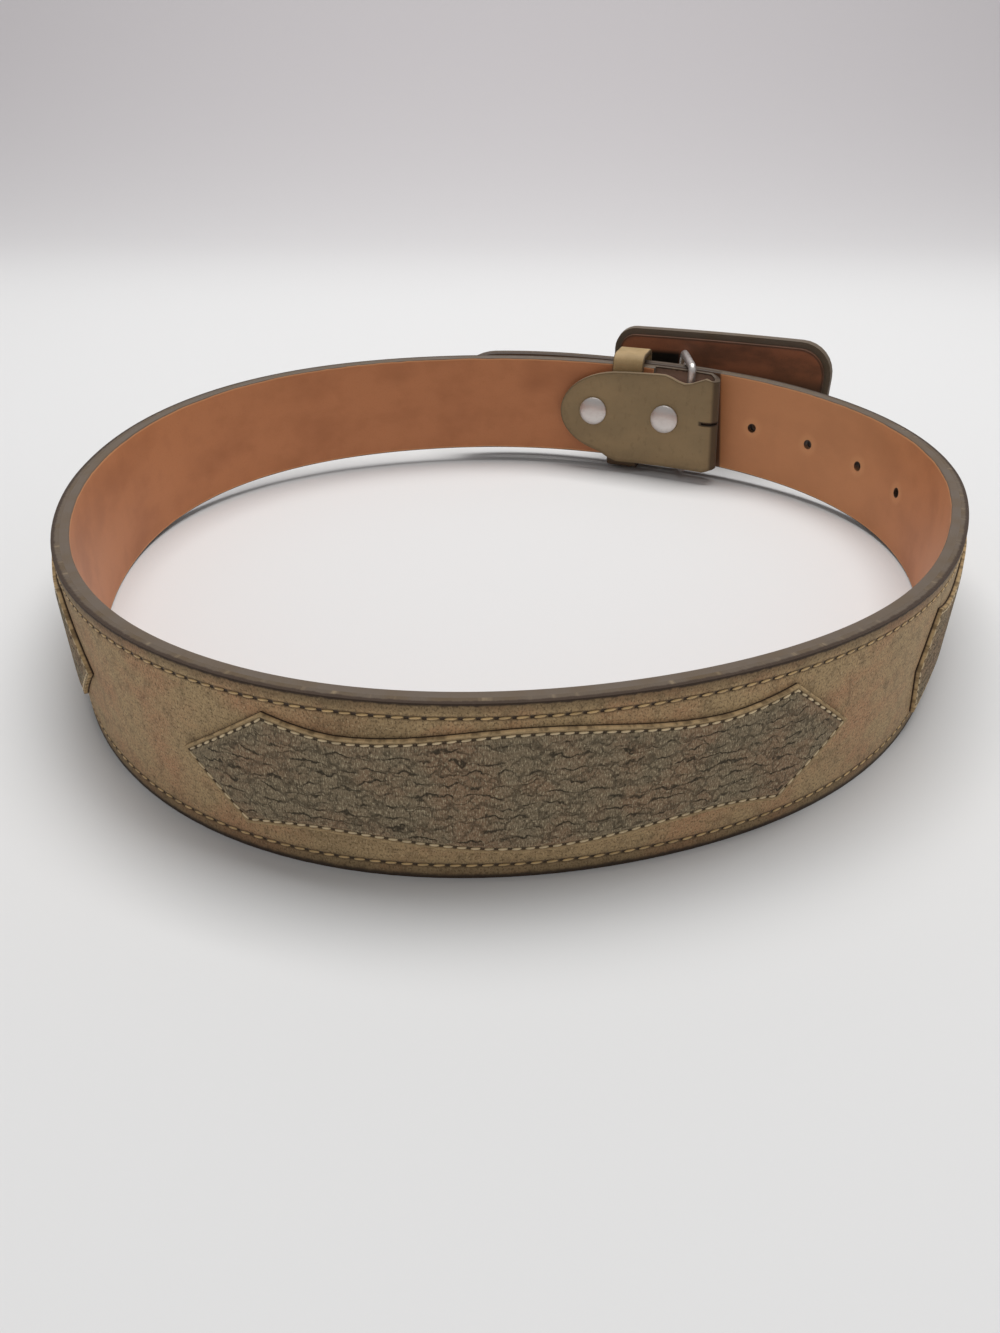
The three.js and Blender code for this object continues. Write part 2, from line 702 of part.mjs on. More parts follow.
const finish = (color, roughness, metalness) =>
  new THREE.MeshStandardMaterial({ color, roughness, metalness });
const FINISHES = {
  face: finish(COLOURS.face, 0.8, 0),
  lining: finish(COLOURS.lining, 0.65, 0),
  overlay: finish(COLOURS.overlay, 0.75, 0),
  keeper: finish(COLOURS.keeper, 0.75, 0),
  plate: finish(COLOURS.plate, 0.75, 0),
  backing: finish(COLOURS.backing, 0.6, 0),
  metal: finish(COLOURS.metal, 0.25, 1),
};

function mesh(name, geometry, material) {
  const made = new THREE.Mesh(geometry, material);
  made.name = name;
  return made;
}

const strap = new THREE.Group();
strap.add(mesh("strap_face", strapFace(), FINISHES.face));
strap.add(mesh("lining", lining(), FINISHES.lining));
for (const overlay of OVERLAYS) strap.add(mesh(overlay.name, overlayGeometry(overlay), FINISHES.overlay));
for (const snap of SNAPS) strap.add(mesh(snap.name, snapGeometry(snap), FINISHES.metal));
strap.add(mesh("keeper", keeperGeometry(), FINISHES.keeper));

const buckle = new THREE.Group();
buckle.add(mesh("buckle_plate", plateGeometry(), FINISHES.plate));
buckle.add(mesh("buckle_backing", backingGeometry(), FINISHES.backing));
buckle.add(mesh("bail", bailGeometry(), FINISHES.metal));
buckle.add(mesh("bail_bracket", bracketGeometry(), FINISHES.metal));
buckle.add(mesh("buckle_hook", studGeometry(), FINISHES.metal));

const belt = new THREE.Group();
belt.add(strap, buckle);

export default belt;
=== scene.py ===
"""A western belt with a leather covered plate buckle, closed into its ring and standing on its edge.

Each leather is cut flat on the table, with x along the strap, y up its height and z towards its outside.
It is then stood up and bent along its path, as the real strap is.
"""

import math

import bpy
import numpy as np
from bpy.props import FloatProperty, FloatVectorProperty, PointerProperty
from mathutils import Matrix, Vector


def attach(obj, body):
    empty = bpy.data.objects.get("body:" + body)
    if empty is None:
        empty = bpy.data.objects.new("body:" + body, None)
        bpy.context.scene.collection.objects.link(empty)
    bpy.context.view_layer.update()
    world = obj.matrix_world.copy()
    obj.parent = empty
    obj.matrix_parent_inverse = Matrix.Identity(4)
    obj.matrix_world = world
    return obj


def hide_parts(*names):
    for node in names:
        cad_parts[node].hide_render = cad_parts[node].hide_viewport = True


bl_info = {
    "name": "Western belt",
    "version": (1, 0, 0),
    "blender": (4, 5, 0),
    "location": "View3D > Sidebar > Belt",
    "description": "Makes the leathers, threads and fittings of a western belt round its packed frame",
    "category": "Object",
}

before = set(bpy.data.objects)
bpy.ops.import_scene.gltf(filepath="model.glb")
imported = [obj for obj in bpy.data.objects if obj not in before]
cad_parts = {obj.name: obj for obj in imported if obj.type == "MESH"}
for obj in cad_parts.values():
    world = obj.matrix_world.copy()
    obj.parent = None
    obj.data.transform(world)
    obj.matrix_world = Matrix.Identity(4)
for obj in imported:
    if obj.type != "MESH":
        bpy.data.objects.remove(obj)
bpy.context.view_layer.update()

MM = 0.001
BODY = "root"

# The ring of the strap's outer face, seen from above: angles in degrees from +X, counter-clockwise.
LOOP_CENTRE = np.array((-2.3, -2.6)) * MM
LOOP_RADIUS = 133.8 * MM
# How the leather springs out of round: waves round the ring, size, and the angle of one crest.
LOOP_WAVES = (
    (2, 3.6 * MM, 23.7),
    (3, 4.6 * MM, 23.3),
    (4, 0.7 * MM, 47.3),
    (5, 1.5 * MM, 17.7),
    (6, 0.5 * MM, 22.4),
)
FOLD_ANGLE, LAST_ANGLE, ANGLE_STEP = 51, 463, 1
# How far the buckle end lies inside the ring and the tip outside it, each easing between two angles.
BUCKLE_END_INSET, BUCKLE_END_FROM, BUCKLE_END_TO = 6.2 * MM, 60, 130
TIP_END_OUTSET, TIP_END_FROM, TIP_END_TO = 4.0 * MM, 424, 452
# The plate and the keeper lift the far side.
FAR_SIDE_LIFT = 6 * MM

# The strap. A run is a distance along its outer face from the fold. It is wide within the first reach of its
# nearest run, and narrow beyond the second.
STRAP_LENGTH = 955 * MM
STRAP_NEAR_RUN = 507 * MM
WIDE, WIDE_REACH = 44.45 * MM, 60 * MM
NARROW, NARROW_REACH = 38.1 * MM, 295 * MM
TIP_ROUND = 19 * MM
COLUMN, TAB_COLUMN, TIP_CLEAR = 5 * MM, 3 * MM, 16 * MM
FACE = 2.1 * MM
STRAP = 4.5 * MM
LINING_START = 24 * MM
RIM = 0.5 * MM
HOLE, HOLE_FIRST, HOLE_PITCH, HOLE_COUNT = 3.3 * MM, 747 * MM, 25.4 * MM, 5
HOLE_RUNS = [HOLE_FIRST + HOLE_PITCH * i for i in range(HOLE_COUNT)]

# The tab that the outer leather makes behind the fold.
TAB_DEPTH, TAB_END_DEPTH = 6.6 * MM, 5.6 * MM
TAB_SETTLE_FROM, TAB_SETTLE_TO = 41 * MM, 62 * MM
TAB_LOW_AT_FOLD, TAB_HIGH_AT_FOLD = 0.1 * MM, 37.8 * MM
TAB_LOW_AT_TONGUE, TAB_HIGH_AT_TONGUE = -1.1 * MM, 35.8 * MM
TONGUE_START, TONGUE_REACH = 37 * MM, 25.7 * MM
TONGUE_MIDDLE, TONGUE_HALF = 18.6 * MM, 17.0 * MM
NOTCH_FROM, NOTCH_TO, NOTCH_DEPTH = -2.5 * MM, 20 * MM, 3.0 * MM
SLIT_RUN, SLIT_HEIGHT, SLIT_WIDTH = 1.2 * MM, 19.9 * MM, 1.0 * MM
# How far the fold's edges draw in, and how far its bend leans from the middle to the top. The lean fades out
# between two distances along the strap, and reaches no leather that lies further away than the last number.
FOLD_DRAW, FOLD_LEAN = 1.4 * MM, 1.3 * MM
LEAN_WHOLE, LEAN_GONE, LEAN_REACH = 5 * MM, 18 * MM, 40 * MM

# The overlays: middle, half length, corner, how far askew the left corners are cut, and how far the middle
# line lies above the strap's.
OVERLAYS = {
    "overlay_long_1": (509.9 * MM, 75.6 * MM, 57.3 * MM, 3.6 * MM, 1.0 * MM),
    "overlay_long_2": (319.3 * MM, 75.6 * MM, 57.3 * MM, 0, 2.0 * MM),
    "overlay_short_1": (674.0 * MM, 54.0 * MM, 47.6 * MM, 0, -1.6 * MM),
    "overlay_short_2": (156.1 * MM, 56.4 * MM, 38.0 * MM, 0, 1.0 * MM),
}
OVERLAY_THICKNESS = 1.25 * MM
OVERLAY_PUFF, OVERLAY_EDGE = 0.25 * MM, 0.3 * MM
# Half its height at a corner, in the dip beside it and in the middle, how far out the dip lies as a share of
# the corner's place, and the power that the rise to the corner follows.
OVERLAY_CORNER, OVERLAY_DIP, OVERLAY_MIDDLE = 15.1 * MM, 12.3 * MM, 15.5 * MM
OVERLAY_DIP_SHARE, OVERLAY_HOLLOW = 0.7, 1.6

# The snaps: run and height on the tab.
SNAPS = {"snap_1": (17.2 * MM, 19.4 * MM), "snap_2": (48.2 * MM, 19.2 * MM)}
SNAP_CAP, SNAP_RIM, SNAP_HEIGHT, SNAP_CLEARANCE = 11.2 * MM, 0.6 * MM, 2.0 * MM, 0.1 * MM
SNAP_POST, SNAP_FOOT, SNAP_FOOT_HEIGHT = 4.0 * MM, 8.0 * MM, 0.7 * MM
SNAP_EDGE, SNAP_FOOT_EDGE = 0.2 * MM, 0.25 * MM
# The crown's rings, as shares of the cap's radius, and the power that its dome follows.
SNAP_CROWN, SNAP_DOME = (0.9, 0.8, 0.68, 0.54, 0.38, 0.2, 0.06), 2.6

# The keeper, with the rounding of its outer and inner edges.
KEEPER_RUN, KEEPER_WIDTH, KEEPER_THICKNESS = 35 * MM, 12.6 * MM, 1.8 * MM
KEEPER_BELOW, KEEPER_ABOVE, KEEPER_SLACK, KEEPER_CORNER = 4.7 * MM, 4.2 * MM, 2.6 * MM, 3.1 * MM
KEEPER_OUTER_EDGE, KEEPER_INNER_EDGE = 0.45 * MM, 0.3 * MM

# The buckle.
PLATE_LENGTH, PLATE_HEIGHT, PLATE_THICKNESS = 90 * MM, 53 * MM, 4.6 * MM
PLATE_TIP_CORNER, PLATE_FOLD_CORNER, PLATE_BOW = 13.5 * MM, 8.5 * MM, 400 * MM
PLATE_MIDDLE = LOOP_CENTRE + np.array((88.3, 125.6)) * MM
PLATE_TURN = math.radians(-20.5)
PLATE_FRONT_EDGE, PLATE_BACK_EDGE, PLATE_BORDER = 1.7 * MM, 1.5 * MM, 3.7 * MM
BACKING_INSET, BACKING_THICKNESS, BACKING_EDGE = 2.4 * MM, 1.2 * MM, 0.5 * MM
BAIL_WIRE, BAIL_RUN, BAIL_CORNER, BAIL_CLEARANCE = 3.2 * MM, 8.7 * MM, 2.1 * MM, 0.35 * MM
BRACKET_OUTER, BRACKET_ALONG = 3.1 * MM, -14.8 * MM
FITTING_EDGE = 0.15 * MM
GLUE_GAP = 0.3 * MM
# How far the leathers that are sewn or glued on sink into what carries them.
SINK = 0.05 * MM

# The sewing: how far a stitch stands above its pressed seam, its share of the pitch, its height for its
# width, and its slant. A seam draws in only the outer skin of the leather, over its own width.
THREAD_LIFT, STITCH_SHARE, STITCH_FLATNESS, STITCH_SLANT = 0.12 * MM, 0.72, 0.85, math.radians(5)
SEAM_START, SEAM_SKIN, SEAM_WIDTH, OVERLAY_SEAM_WIDTH = 13 * MM, 0.6 * MM, 0.7 * MM, 0.6 * MM

# The rings of faces inside each leather's edge, which are closer together beside its seam.
RING_INSETS = tuple(width * MM for width in (0.8, 1.1, 0.9, 0.45, 0.45, 0.5, 0.8))
OVERLAY_INSETS = tuple(width * MM for width in (0.5, 0.5, 0.35, 0.35, 0.6, 1.2))
KEEPER_INSETS = tuple(width * MM for width in (0.7, 0.9))
PLATE_INSETS = tuple(width * MM for width in (2.1, 1.2, 0.4, 0.4, 0.5, 1.5))
BACKING_INSETS = tuple(width * MM for width in (0.8, 1.5, 1.5))

# The floor turns up into the backdrop behind the belt.
BACKDROP_START, BACKDROP_BEND = 0.7, 0.5

# The soft studio light: one large lamp above the far side of the belt, and a weak, even world.
LAMP_PLACE, LAMP_TARGET, LAMP_SIZE = (0.09, 0.34, 1.45), (0.03, 0.18, 0), (1.35, 0.75)
LAMP_POWER, LAMP_TONE = 21.5, (1.0, 0.997, 0.99)
WORLD_STRENGTH, WORLD_TONE = 0.4, (0.985, 0.99, 1.0, 1.0)

# The photograph's camera: its place in the frame, how far it looks down, its roll, and its focal length.
CAMERA_PLACE = (-6.1 * MM, -283.9 * MM, 144.5 * MM)
CAMERA_DOWN, CAMERA_ROLL = math.radians(31.99), math.radians(0.27)
FOCAL_PIXELS, IMAGE_HEIGHT, SENSOR = 953.35, 1333, 36


def linear(hex_colour):
    """An sRGB hex colour as linear red, green, blue and alpha."""
    parts = [int(hex_colour[i : i + 2], 16) / 255 for i in (1, 3, 5)]
    return tuple(p / 12.92 if p <= 0.04045 else ((p + 0.055) / 1.055) ** 2.4 for p in parts) + (1.0,)


def colour_property(name, description, default):
    return FloatVectorProperty(
        name=name, description=description, subtype="COLOR", size=4, min=0, max=1, default=linear(default)
    )


def length_property(name, description, default):
    return FloatProperty(
        name=name, description=description, default=default, min=0, unit="LENGTH", precision=5
    )


class BeltSizes(bpy.types.PropertyGroup):
    """Sizes of the sewing and the edges."""

    edge_margin: length_property("Edge margin", "From the strap's edge to its row of stitches", 3.5 * MM)
    edge_stitch: length_property("Edge stitch", "Length of one stitch along the strap's edge", 3.4 * MM)
    overlay_margin: length_property("Overlay margin", "From an overlay's edge to its stitches", 1.1 * MM)
    overlay_stitch: length_property("Overlay stitch", "Length of one stitch round an overlay", 2.8 * MM)
    thread: length_property("Thread", "Width of the sewing thread where it lies on the leather", 0.56 * MM)
    seam_depth: length_property("Seam depth", "How far stitches are drawn into the leather", 0.28 * MM)


class BeltFinishes(bpy.types.PropertyGroup):
    """Colours of the leathers, threads and metal."""

    face: colour_property("Outer leather", "Khaki of the waxed nubuck", "#b79b72")
    face_warm: colour_property("Outer leather, warm", "Orange brown clouds in the nubuck", "#ba8f69")
    # Also used as painted shade in the pressed groove of the edge seam.
    face_dark: colour_property("Outer leather, pores", "Pores and rubbed places of the nubuck", "#5b4a34")
    face_pale: colour_property("Outer leather, fibres", "Raised pale fibres of the nubuck", "#d5bc93")
    tab: colour_property("Tab", "Smooth olive of the tab behind the fold", "#8d7a5b")
    flesh: colour_property("Flesh side", "Pinkish tan flesh side of the outer leather", "#ac8a78")
    rim: colour_property("Edge paint", "Dark brown grey paint on the cut edges", "#5f5347")
    # Also used as painted shade: in needle holes, at the fold's bend and beside it on the lining, at the foot
    # of the overlays' cut edges, low on the keeper and low on the backing.
    rim_dark: colour_property("Edge line", "Dark burnished line at the outer corner", "#3e3025")
    lining: colour_property("Lining", "Orange tan of the vegetable tanned lining", "#bc7b50")
    lining_dark: colour_property("Lining, stains", "Stains and handled places of the lining", "#9f633d")
    lining_pale: colour_property("Lining, bevel", "Pale bevel and the rings round the holes", "#dba06f")
    overlay: colour_property("Overlay", "Grey olive of the shrunken grain", "#8e7e65")
    overlay_warm: colour_property("Overlay, warm", "Brown clouds of the shrunken grain", "#987d62")
    # Also used as painted shade in the pressed grooves of the overlays' seams.
    overlay_dark: colour_property("Overlay, creases", "Creases between the grains", "#332d22")
    overlay_pale: colour_property("Overlay, fibres", "Raised fibres of the grain", "#cdbd9c")
    raw_edge: colour_property("Raw edge", "Cut edge of the overlay leather", "#c8ab80")
    edge_thread: colour_property("Edge thread", "Golden tan thread of the strap's edges", "#dab780")
    overlay_thread: colour_property("Overlay thread", "Cream thread of the overlays", "#e2caa0")
    keeper: colour_property("Keeper", "Pale tan of the keeper", "#988059")
    plate: colour_property("Plate", "Dark olive leather over the plate", "#63574a")
    backing: colour_property("Backing", "Dark brown leather on the plate's back", "#945d42")
    pocket: colour_property("Pocket", "The backing where the strap shades it", "#0a0705")
    metal: colour_property("Plated metal", "Bright nickel plate", "#cfc9c5")
    backdrop: colour_property("Backdrop", "The same board where it turns up, in less light", "#bab6b8")
    floor: colour_property("Floor", "Plain pale floor", "#d9d9d9")


def sizes():
    return bpy.context.scene.belt_sizes


def colour(name):
    return tuple(getattr(bpy.context.scene.belt_finishes, name))


# The ring and the heights along it.


def smooth_step(value, start, end):
    share = np.clip((value - start) / (end - start), 0, 1)
    return share * share * (3 - 2 * share)


def ring_radius(angle):
    waves = sum(size * np.cos(np.radians(count * (angle - crest))) for count, size, crest in LOOP_WAVES)
    inset = BUCKLE_END_INSET * (1 - smooth_step(angle, BUCKLE_END_FROM, BUCKLE_END_TO))
    outset = TIP_END_OUTSET * smooth_step(angle, TIP_END_FROM, TIP_END_TO)
    return LOOP_RADIUS + waves - inset + outset


def lengths_along(points):
    """The length along a row of points, at each of them."""
    return np.concatenate(([0], np.cumsum(np.linalg.norm(np.diff(points, axis=0), axis=1))))


ANGLES = np.arange(FOLD_ANGLE, LAST_ANGLE + ANGLE_STEP, ANGLE_STEP, dtype=float)
RING_WAYS = np.stack((np.cos(np.radians(ANGLES)), np.sin(np.radians(ANGLES))), 1)
RING = LOOP_CENTRE + ring_radius(ANGLES)[:, None] * RING_WAYS
RUNS = lengths_along(RING)


def along_at(run):
    """The direction along the strap at each run."""
    after = np.stack([np.interp(run + COLUMN / 5, RUNS, RING[:, k]) for k in range(2)], -1)
    before = np.stack([np.interp(run - COLUMN / 5, RUNS, RING[:, k]) for k in range(2)], -1)
    way = after - before
    return way / np.linalg.norm(way, axis=-1, keepdims=True)


def plan_at(run, depth=0.0):
    """Places seen from above, at a depth inwards from the strap's outer face."""
    run = np.asarray(run, float)
    place = np.stack([np.interp(run, RUNS, RING[:, k]) for k in range(2)], -1)
    along = along_at(run)
    inward = np.stack((-along[..., 1], along[..., 0]), -1)
    return place + inward * np.asarray(depth)[..., None]


def lift_at(run):
    angle = np.interp(run, RUNS, ANGLES)
    return FAR_SIDE_LIFT * smooth_step(np.sin(np.radians(angle)), 0, 1)


def width_at(run):
    share = smooth_step(np.abs(run - STRAP_NEAR_RUN), WIDE_REACH, NARROW_REACH)
    return WIDE + (NARROW - WIDE) * share


def strap_edges(run):
    """Heights of the strap's lower and upper edge, round at the tip."""
    width = width_at(run)
    past = np.maximum(0, run - (STRAP_LENGTH - TIP_ROUND)) / TIP_ROUND
    half = width / 2 * np.sqrt(np.maximum(0, 1 - past * past))
    return width / 2 - half, width / 2 + half


def tab_depth(run):
    settled = np.clip((run - TAB_SETTLE_FROM) / (TAB_SETTLE_TO - TAB_SETTLE_FROM), 0, 1)
    return TAB_DEPTH + (TAB_END_DEPTH - TAB_DEPTH) * settled


def tab_edges(run):
    """Heights of the tab's lower and upper edge, with the notch over the bail and the rounded tongue."""
    wave = np.clip((run - NOTCH_FROM) / (NOTCH_TO - NOTCH_FROM), 0, 1)
    notch = NOTCH_DEPTH * np.sin(math.pi * wave) ** 2
    share = np.minimum(run / TONGUE_START, 1)
    low = TAB_LOW_AT_FOLD + (TAB_LOW_AT_TONGUE - TAB_LOW_AT_FOLD) * share
    high = TAB_HIGH_AT_FOLD + (TAB_HIGH_AT_TONGUE - TAB_HIGH_AT_FOLD) * share - notch
    past = np.maximum(0, run - TONGUE_START) / TONGUE_REACH
    half = TONGUE_HALF * np.sqrt(np.maximum(0, 1 - past * past))
    shoulder = 1 - smooth_step(run, TONGUE_START, TONGUE_START + TONGUE_REACH / 3)
    tongue_low = TONGUE_MIDDLE - half + (TAB_LOW_AT_TONGUE - TONGUE_MIDDLE + TONGUE_HALF) * shoulder
    tongue_high = TONGUE_MIDDLE + half + (TAB_HIGH_AT_TONGUE - TONGUE_MIDDLE - TONGUE_HALF) * shoulder
    return np.where(run <= TONGUE_START, low, tongue_low), np.where(run <= TONGUE_START, high, tongue_high)


# Blender helpers.


def only(piece):
    """Makes a piece the only one that is selected, and the active one."""
    bpy.ops.object.select_all(action="DESELECT")
    piece.select_set(True)
    bpy.context.view_layer.objects.active = piece


def named(name):
    piece = bpy.context.object
    piece.name = name
    piece.data.name = name
    return piece


def apply_modifier(piece, kind, **settings):
    only(piece)
    modifier = piece.modifiers.new(kind.lower(), kind)
    for name, value in settings.items():
        setattr(modifier, name, value)
    bpy.ops.object.modifier_apply(modifier=modifier.name)


def places_of(piece):
    places = np.empty(len(piece.data.vertices) * 3)
    piece.data.vertices.foreach_get("co", places)
    return places.reshape(-1, 3)


def put(piece, places):
    piece.data.vertices.foreach_set("co", places.ravel())
    piece.data.update()


def path_object(name, points, closed=False):
    """A path on the table through points, to bend or sew along."""
    data = bpy.data.curves.new(name, "CURVE")
    data.dimensions = "3D"
    data.twist_mode = "Z_UP"
    spline = data.splines.new("POLY")
    spline.points.add(len(points) - 1)
    for point, (x, y) in zip(spline.points, points):
        point.co = (x, y, 0, 1)
    spline.use_cyclic_u = closed
    path = bpy.data.objects.new(name, data)
    bpy.context.scene.collection.objects.link(path)
    return path


def remove(piece):
    bpy.data.objects.remove(piece, do_unlink=True)


def cut_out(name, outline, insets, cuts):
    """A flat face with an outline: rings inset from the edge, and cuts across at the given distances."""
    bpy.ops.object.select_all(action="DESELECT")
    bpy.ops.mesh.primitive_circle_add(vertices=len(outline), fill_type="NGON")
    piece = named(name)
    put(piece, np.column_stack((outline, np.zeros(len(outline)))))
    bpy.ops.object.mode_set(mode="EDIT")
    bpy.ops.mesh.select_mode(type="FACE")
    bpy.ops.mesh.select_all(action="SELECT")
    if piece.data.polygons[0].normal.z < 0:
        bpy.ops.mesh.flip_normals()
    for width in insets:
        bpy.ops.mesh.inset(thickness=width, use_even_offset=True)
    for x in cuts:
        bpy.ops.mesh.select_all(action="SELECT")
        bpy.ops.mesh.bisect(plane_co=(x, 0, 0), plane_no=(1, 0, 0), threshold=MM / 100)
    bpy.ops.object.mode_set(mode="OBJECT")
    return piece


def thicken(piece, thickness, low):
    """Gives a flat face its thickness, with its inside at the height low."""
    apply_modifier(piece, "SOLIDIFY", thickness=thickness, offset=0)
    places = places_of(piece)
    places[:, 2] += low + thickness / 2
    put(piece, places)


def round_rim(piece, middle, side, width, segments=3):
    """Rounds the rim above the middle height where side is 1, and below it where side is -1."""
    only(piece)
    bpy.ops.object.mode_set(mode="EDIT")
    bpy.ops.mesh.select_mode(type="EDGE")
    bpy.ops.mesh.select_all(action="DESELECT")
    bpy.ops.mesh.edges_select_sharp(sharpness=math.radians(50))
    bpy.ops.object.mode_set(mode="OBJECT")
    heights = (places_of(piece)[:, 2] - middle) * side
    for edge in piece.data.edges:
        edge.select = edge.select and all(heights[v] > 0 for v in edge.vertices)
    bpy.ops.object.mode_set(mode="EDIT")
    bpy.ops.mesh.bevel(offset=width, segments=segments, affect="EDGES", clamp_overlap=True)
    bpy.ops.object.mode_set(mode="OBJECT")


def punch(piece, cutters):
    """Cuts upright cutters out of a flat piece."""
    for cutter in cutters:
        apply_modifier(piece, "BOOLEAN", object=cutter, operation="DIFFERENCE", solver="EXACT")
        remove(cutter)


def upright(radius, low, high, place=(0, 0), vertices=32):
    """An upright cylinder between two heights."""
    bpy.ops.object.select_all(action="DESELECT")
    bpy.ops.mesh.primitive_cylinder_add(
        vertices=vertices, radius=radius, depth=high - low, location=(*place, (low + high) / 2)
    )
    bpy.ops.object.transform_apply(location=True, rotation=False, scale=False)
    return bpy.context.object


def round_cutter(x, y, diameter):
    return upright(diameter / 2, -10 * MM, 10 * MM, (x, y), 24)


def distance_to(points, line, closed):
    """How far points on the table are from a line, and the length along the line at the nearest place."""
    ends = np.vstack((line, line[:1])) if closed else line
    start, way = ends[:-1], np.diff(ends, axis=0)
    reach = np.maximum((way**2).sum(1), 1e-18)
    lengths = lengths_along(ends)[:-1]
    distance = np.empty(len(points))
    length = np.empty(len(points))
    for first in range(0, len(points), 4000):
        part = points[first : first + 4000, None, :] - start[None]
        share = np.clip((part * way[None]).sum(2) / reach, 0, 1)
        apart = np.linalg.norm(part - share[..., None] * way[None], axis=2)
        nearest = apart.argmin(1)
        rows = np.arange(len(nearest))
        distance[first : first + 4000] = apart[rows, nearest]
        length[first : first + 4000] = lengths[nearest] + share[rows, nearest] * np.sqrt(reach[nearest])
    return distance, length


def write_map(piece, name, values):
    """A UV map with one pair for each vertex."""
    layer = piece.data.uv_layers.get(name) or piece.data.uv_layers.new(name=name)
    corners = np.empty(len(piece.data.loops), dtype=np.int32)
    piece.data.loops.foreach_get("vertex_index", corners)
    layer.data.foreach_set("uv", values[corners].astype(np.float32).ravel())


def write_seam_map(piece, name, stitches, distance, total):
    """A UV map of stitches along a seam and the distance from it, unbroken within each face.

    The total of stitches is given where the seam is closed, and infinite where it isn't.
    """
    layer = piece.data.uv_layers.get(name) or piece.data.uv_layers.new(name=name)
    values = np.empty((len(piece.data.loops), 2), np.float32)
    for face in piece.data.polygons:
        corners = list(face.vertices)
        along = stitches[corners]
        if math.isfinite(total):
            along = along - total * np.round((along - along[0]) / total)
        span = slice(face.loop_start, face.loop_start + face.loop_total)
        values[span, 0] = along
        values[span, 1] = distance[corners]
    layer.data.foreach_set("uv", values.ravel())


def mark_leather(piece, outline, top, seam=None, closed=True, pitch=None, run_of=None):
    """Writes the maps that the leathers' finishes read, in millimetres: pattern, section and seam."""
    places = places_of(piece)
    runs = places[:, 0] if run_of is None else run_of(places[:, 0])
    write_map(piece, "pattern", np.column_stack((runs, places[:, 1])) / MM)
    distance, _ = distance_to(places[:, :2], outline, True)
    write_map(piece, "section", np.column_stack((distance, top - places[:, 2])) / MM)
    if seam is not None:
        apart, length = distance_to(places[:, :2], seam, closed)
        total = lengths_along(np.vstack((seam, seam[:1])) if closed else seam)[-1]
        count = round(total / pitch)
        write_seam_map(piece, "seam", length / total * count, apart / MM, count if closed else math.inf)


def inset_line(outline, distance, closed=True):
    """A line inset from a counter-clockwise outline."""
    before = np.roll(outline, 1, axis=0)
    after = np.roll(outline, -1, axis=0)
    if not closed:
        before[0] = outline[0] - (outline[1] - outline[0])
        after[-1] = outline[-1] + (outline[-1] - outline[-2])
    first = (outline - before) / np.linalg.norm(outline - before, axis=1, keepdims=True)
    second = (after - outline) / np.linalg.norm(after - outline, axis=1, keepdims=True)
    normal = np.stack((-(first + second)[:, 1], (first + second)[:, 0]), 1)
    normal /= np.linalg.norm(normal, axis=1, keepdims=True)
    cosine = np.clip((normal * np.stack((-first[:, 1], first[:, 0]), 1)).sum(1), 0.4, 1)
    return outline + normal * (distance / cosine)[:, None]


def press_seam(piece, seam, closed, top, width):
    """Draws the outside of a leather in along a row of stitches."""
    places = places_of(piece)
    apart, _ = distance_to(places[:, :2], seam, closed)
    upper = np.clip((places[:, 2] - (top - SEAM_SKIN)) / SEAM_SKIN, 0, 1)
    places[:, 2] -= sizes().seam_depth * np.exp(-((apart / width) ** 2)) * upper
    put(piece, places)


def stand_and_bend(piece, path, lift):
    """Stands a flat piece up, raised by its lift at each distance, and bends it along a path."""
    places = places_of(piece)
    places[:, 1] += lift(places[:, 0])
    put(piece, places)
    only(piece)
    piece.rotation_euler = (math.pi / 2, 0, 0)
    bpy.ops.object.transform_apply(location=False, rotation=True, scale=False)
    apply_modifier(piece, "CURVE", object=path, deform_axis="POS_X")


def finish_piece(piece, node=None, smooth=40):
    """Smooths a piece, lets it ride, and lets it stand for its node."""
    only(piece)
    bpy.ops.object.shade_smooth_by_angle(angle=math.radians(smooth))
    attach(piece, BODY)
    if node:
        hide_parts(node)


def dress(piece, material):
    piece.data.materials.clear()
    piece.data.materials.append(material)


def sew(name, line, closed, pitch, top, path, lift, material):
    """A row of stitches along a line on a leather's top, then bent along the path with the leather."""
    ends = np.vstack((line, line[:1])) if closed else line
    total = lengths_along(ends)[-1]
    count = round(total / pitch)
    step = total / count
    bpy.ops.object.select_all(action="DESELECT")
    bpy.ops.mesh.primitive_uv_sphere_add(segments=8, ring_count=6, radius=0.5)
    row = named(name)
    thread = sizes().thread
    row.rotation_euler = (0, math.pi / 2, 0)
    bpy.ops.object.transform_apply(location=False, rotation=True, scale=False)
    row.rotation_euler = (0, 0, STITCH_SLANT)
    row.scale = (step * STITCH_SHARE, thread, thread * STITCH_FLATNESS)
    bpy.ops.object.transform_apply(location=False, rotation=True, scale=True)
    row.location = (step / 2, 0, top + THREAD_LIFT - sizes().seam_depth)
    bpy.ops.object.transform_apply(location=True, rotation=False, scale=False)
    apply_modifier(
        row,
        "ARRAY",
        count=count,
        use_relative_offset=False,
        use_constant_offset=True,
        constant_offset_displace=(step, 0, 0),
    )
    table_path = path_object(name + "_line", line, closed)
    apply_modifier(row, "CURVE", object=table_path, deform_axis="POS_X")
    remove(table_path)
    stand_and_bend(row, path, lift)
    dress(row, material)
    finish_piece(row, smooth=80)


# Finishes. Their patterns are worked out in millimetres, on the maps that mark_leather writes.


def add_node(tree, kind, *values, output=None, **settings):
    """Adds a node with its settings and links, and gives its first output, or the one that is named.

    The values, or other nodes' outputs, go to its open sockets in order. None leaves a socket as it is.
    """
    node = tree.nodes.new("ShaderNode" + kind)
    for name, value in settings.items():
        setattr(node, name, value)
    for socket, value in zip([each for each in node.inputs if each.enabled], values):
        if isinstance(value, bpy.types.NodeSocket):
            tree.links.new(value, socket)
        elif value is not None:
            socket.default_value = value
    outputs = {each.name: each for each in node.outputs if each.enabled}
    return outputs[output] if output else next(iter(outputs.values()))


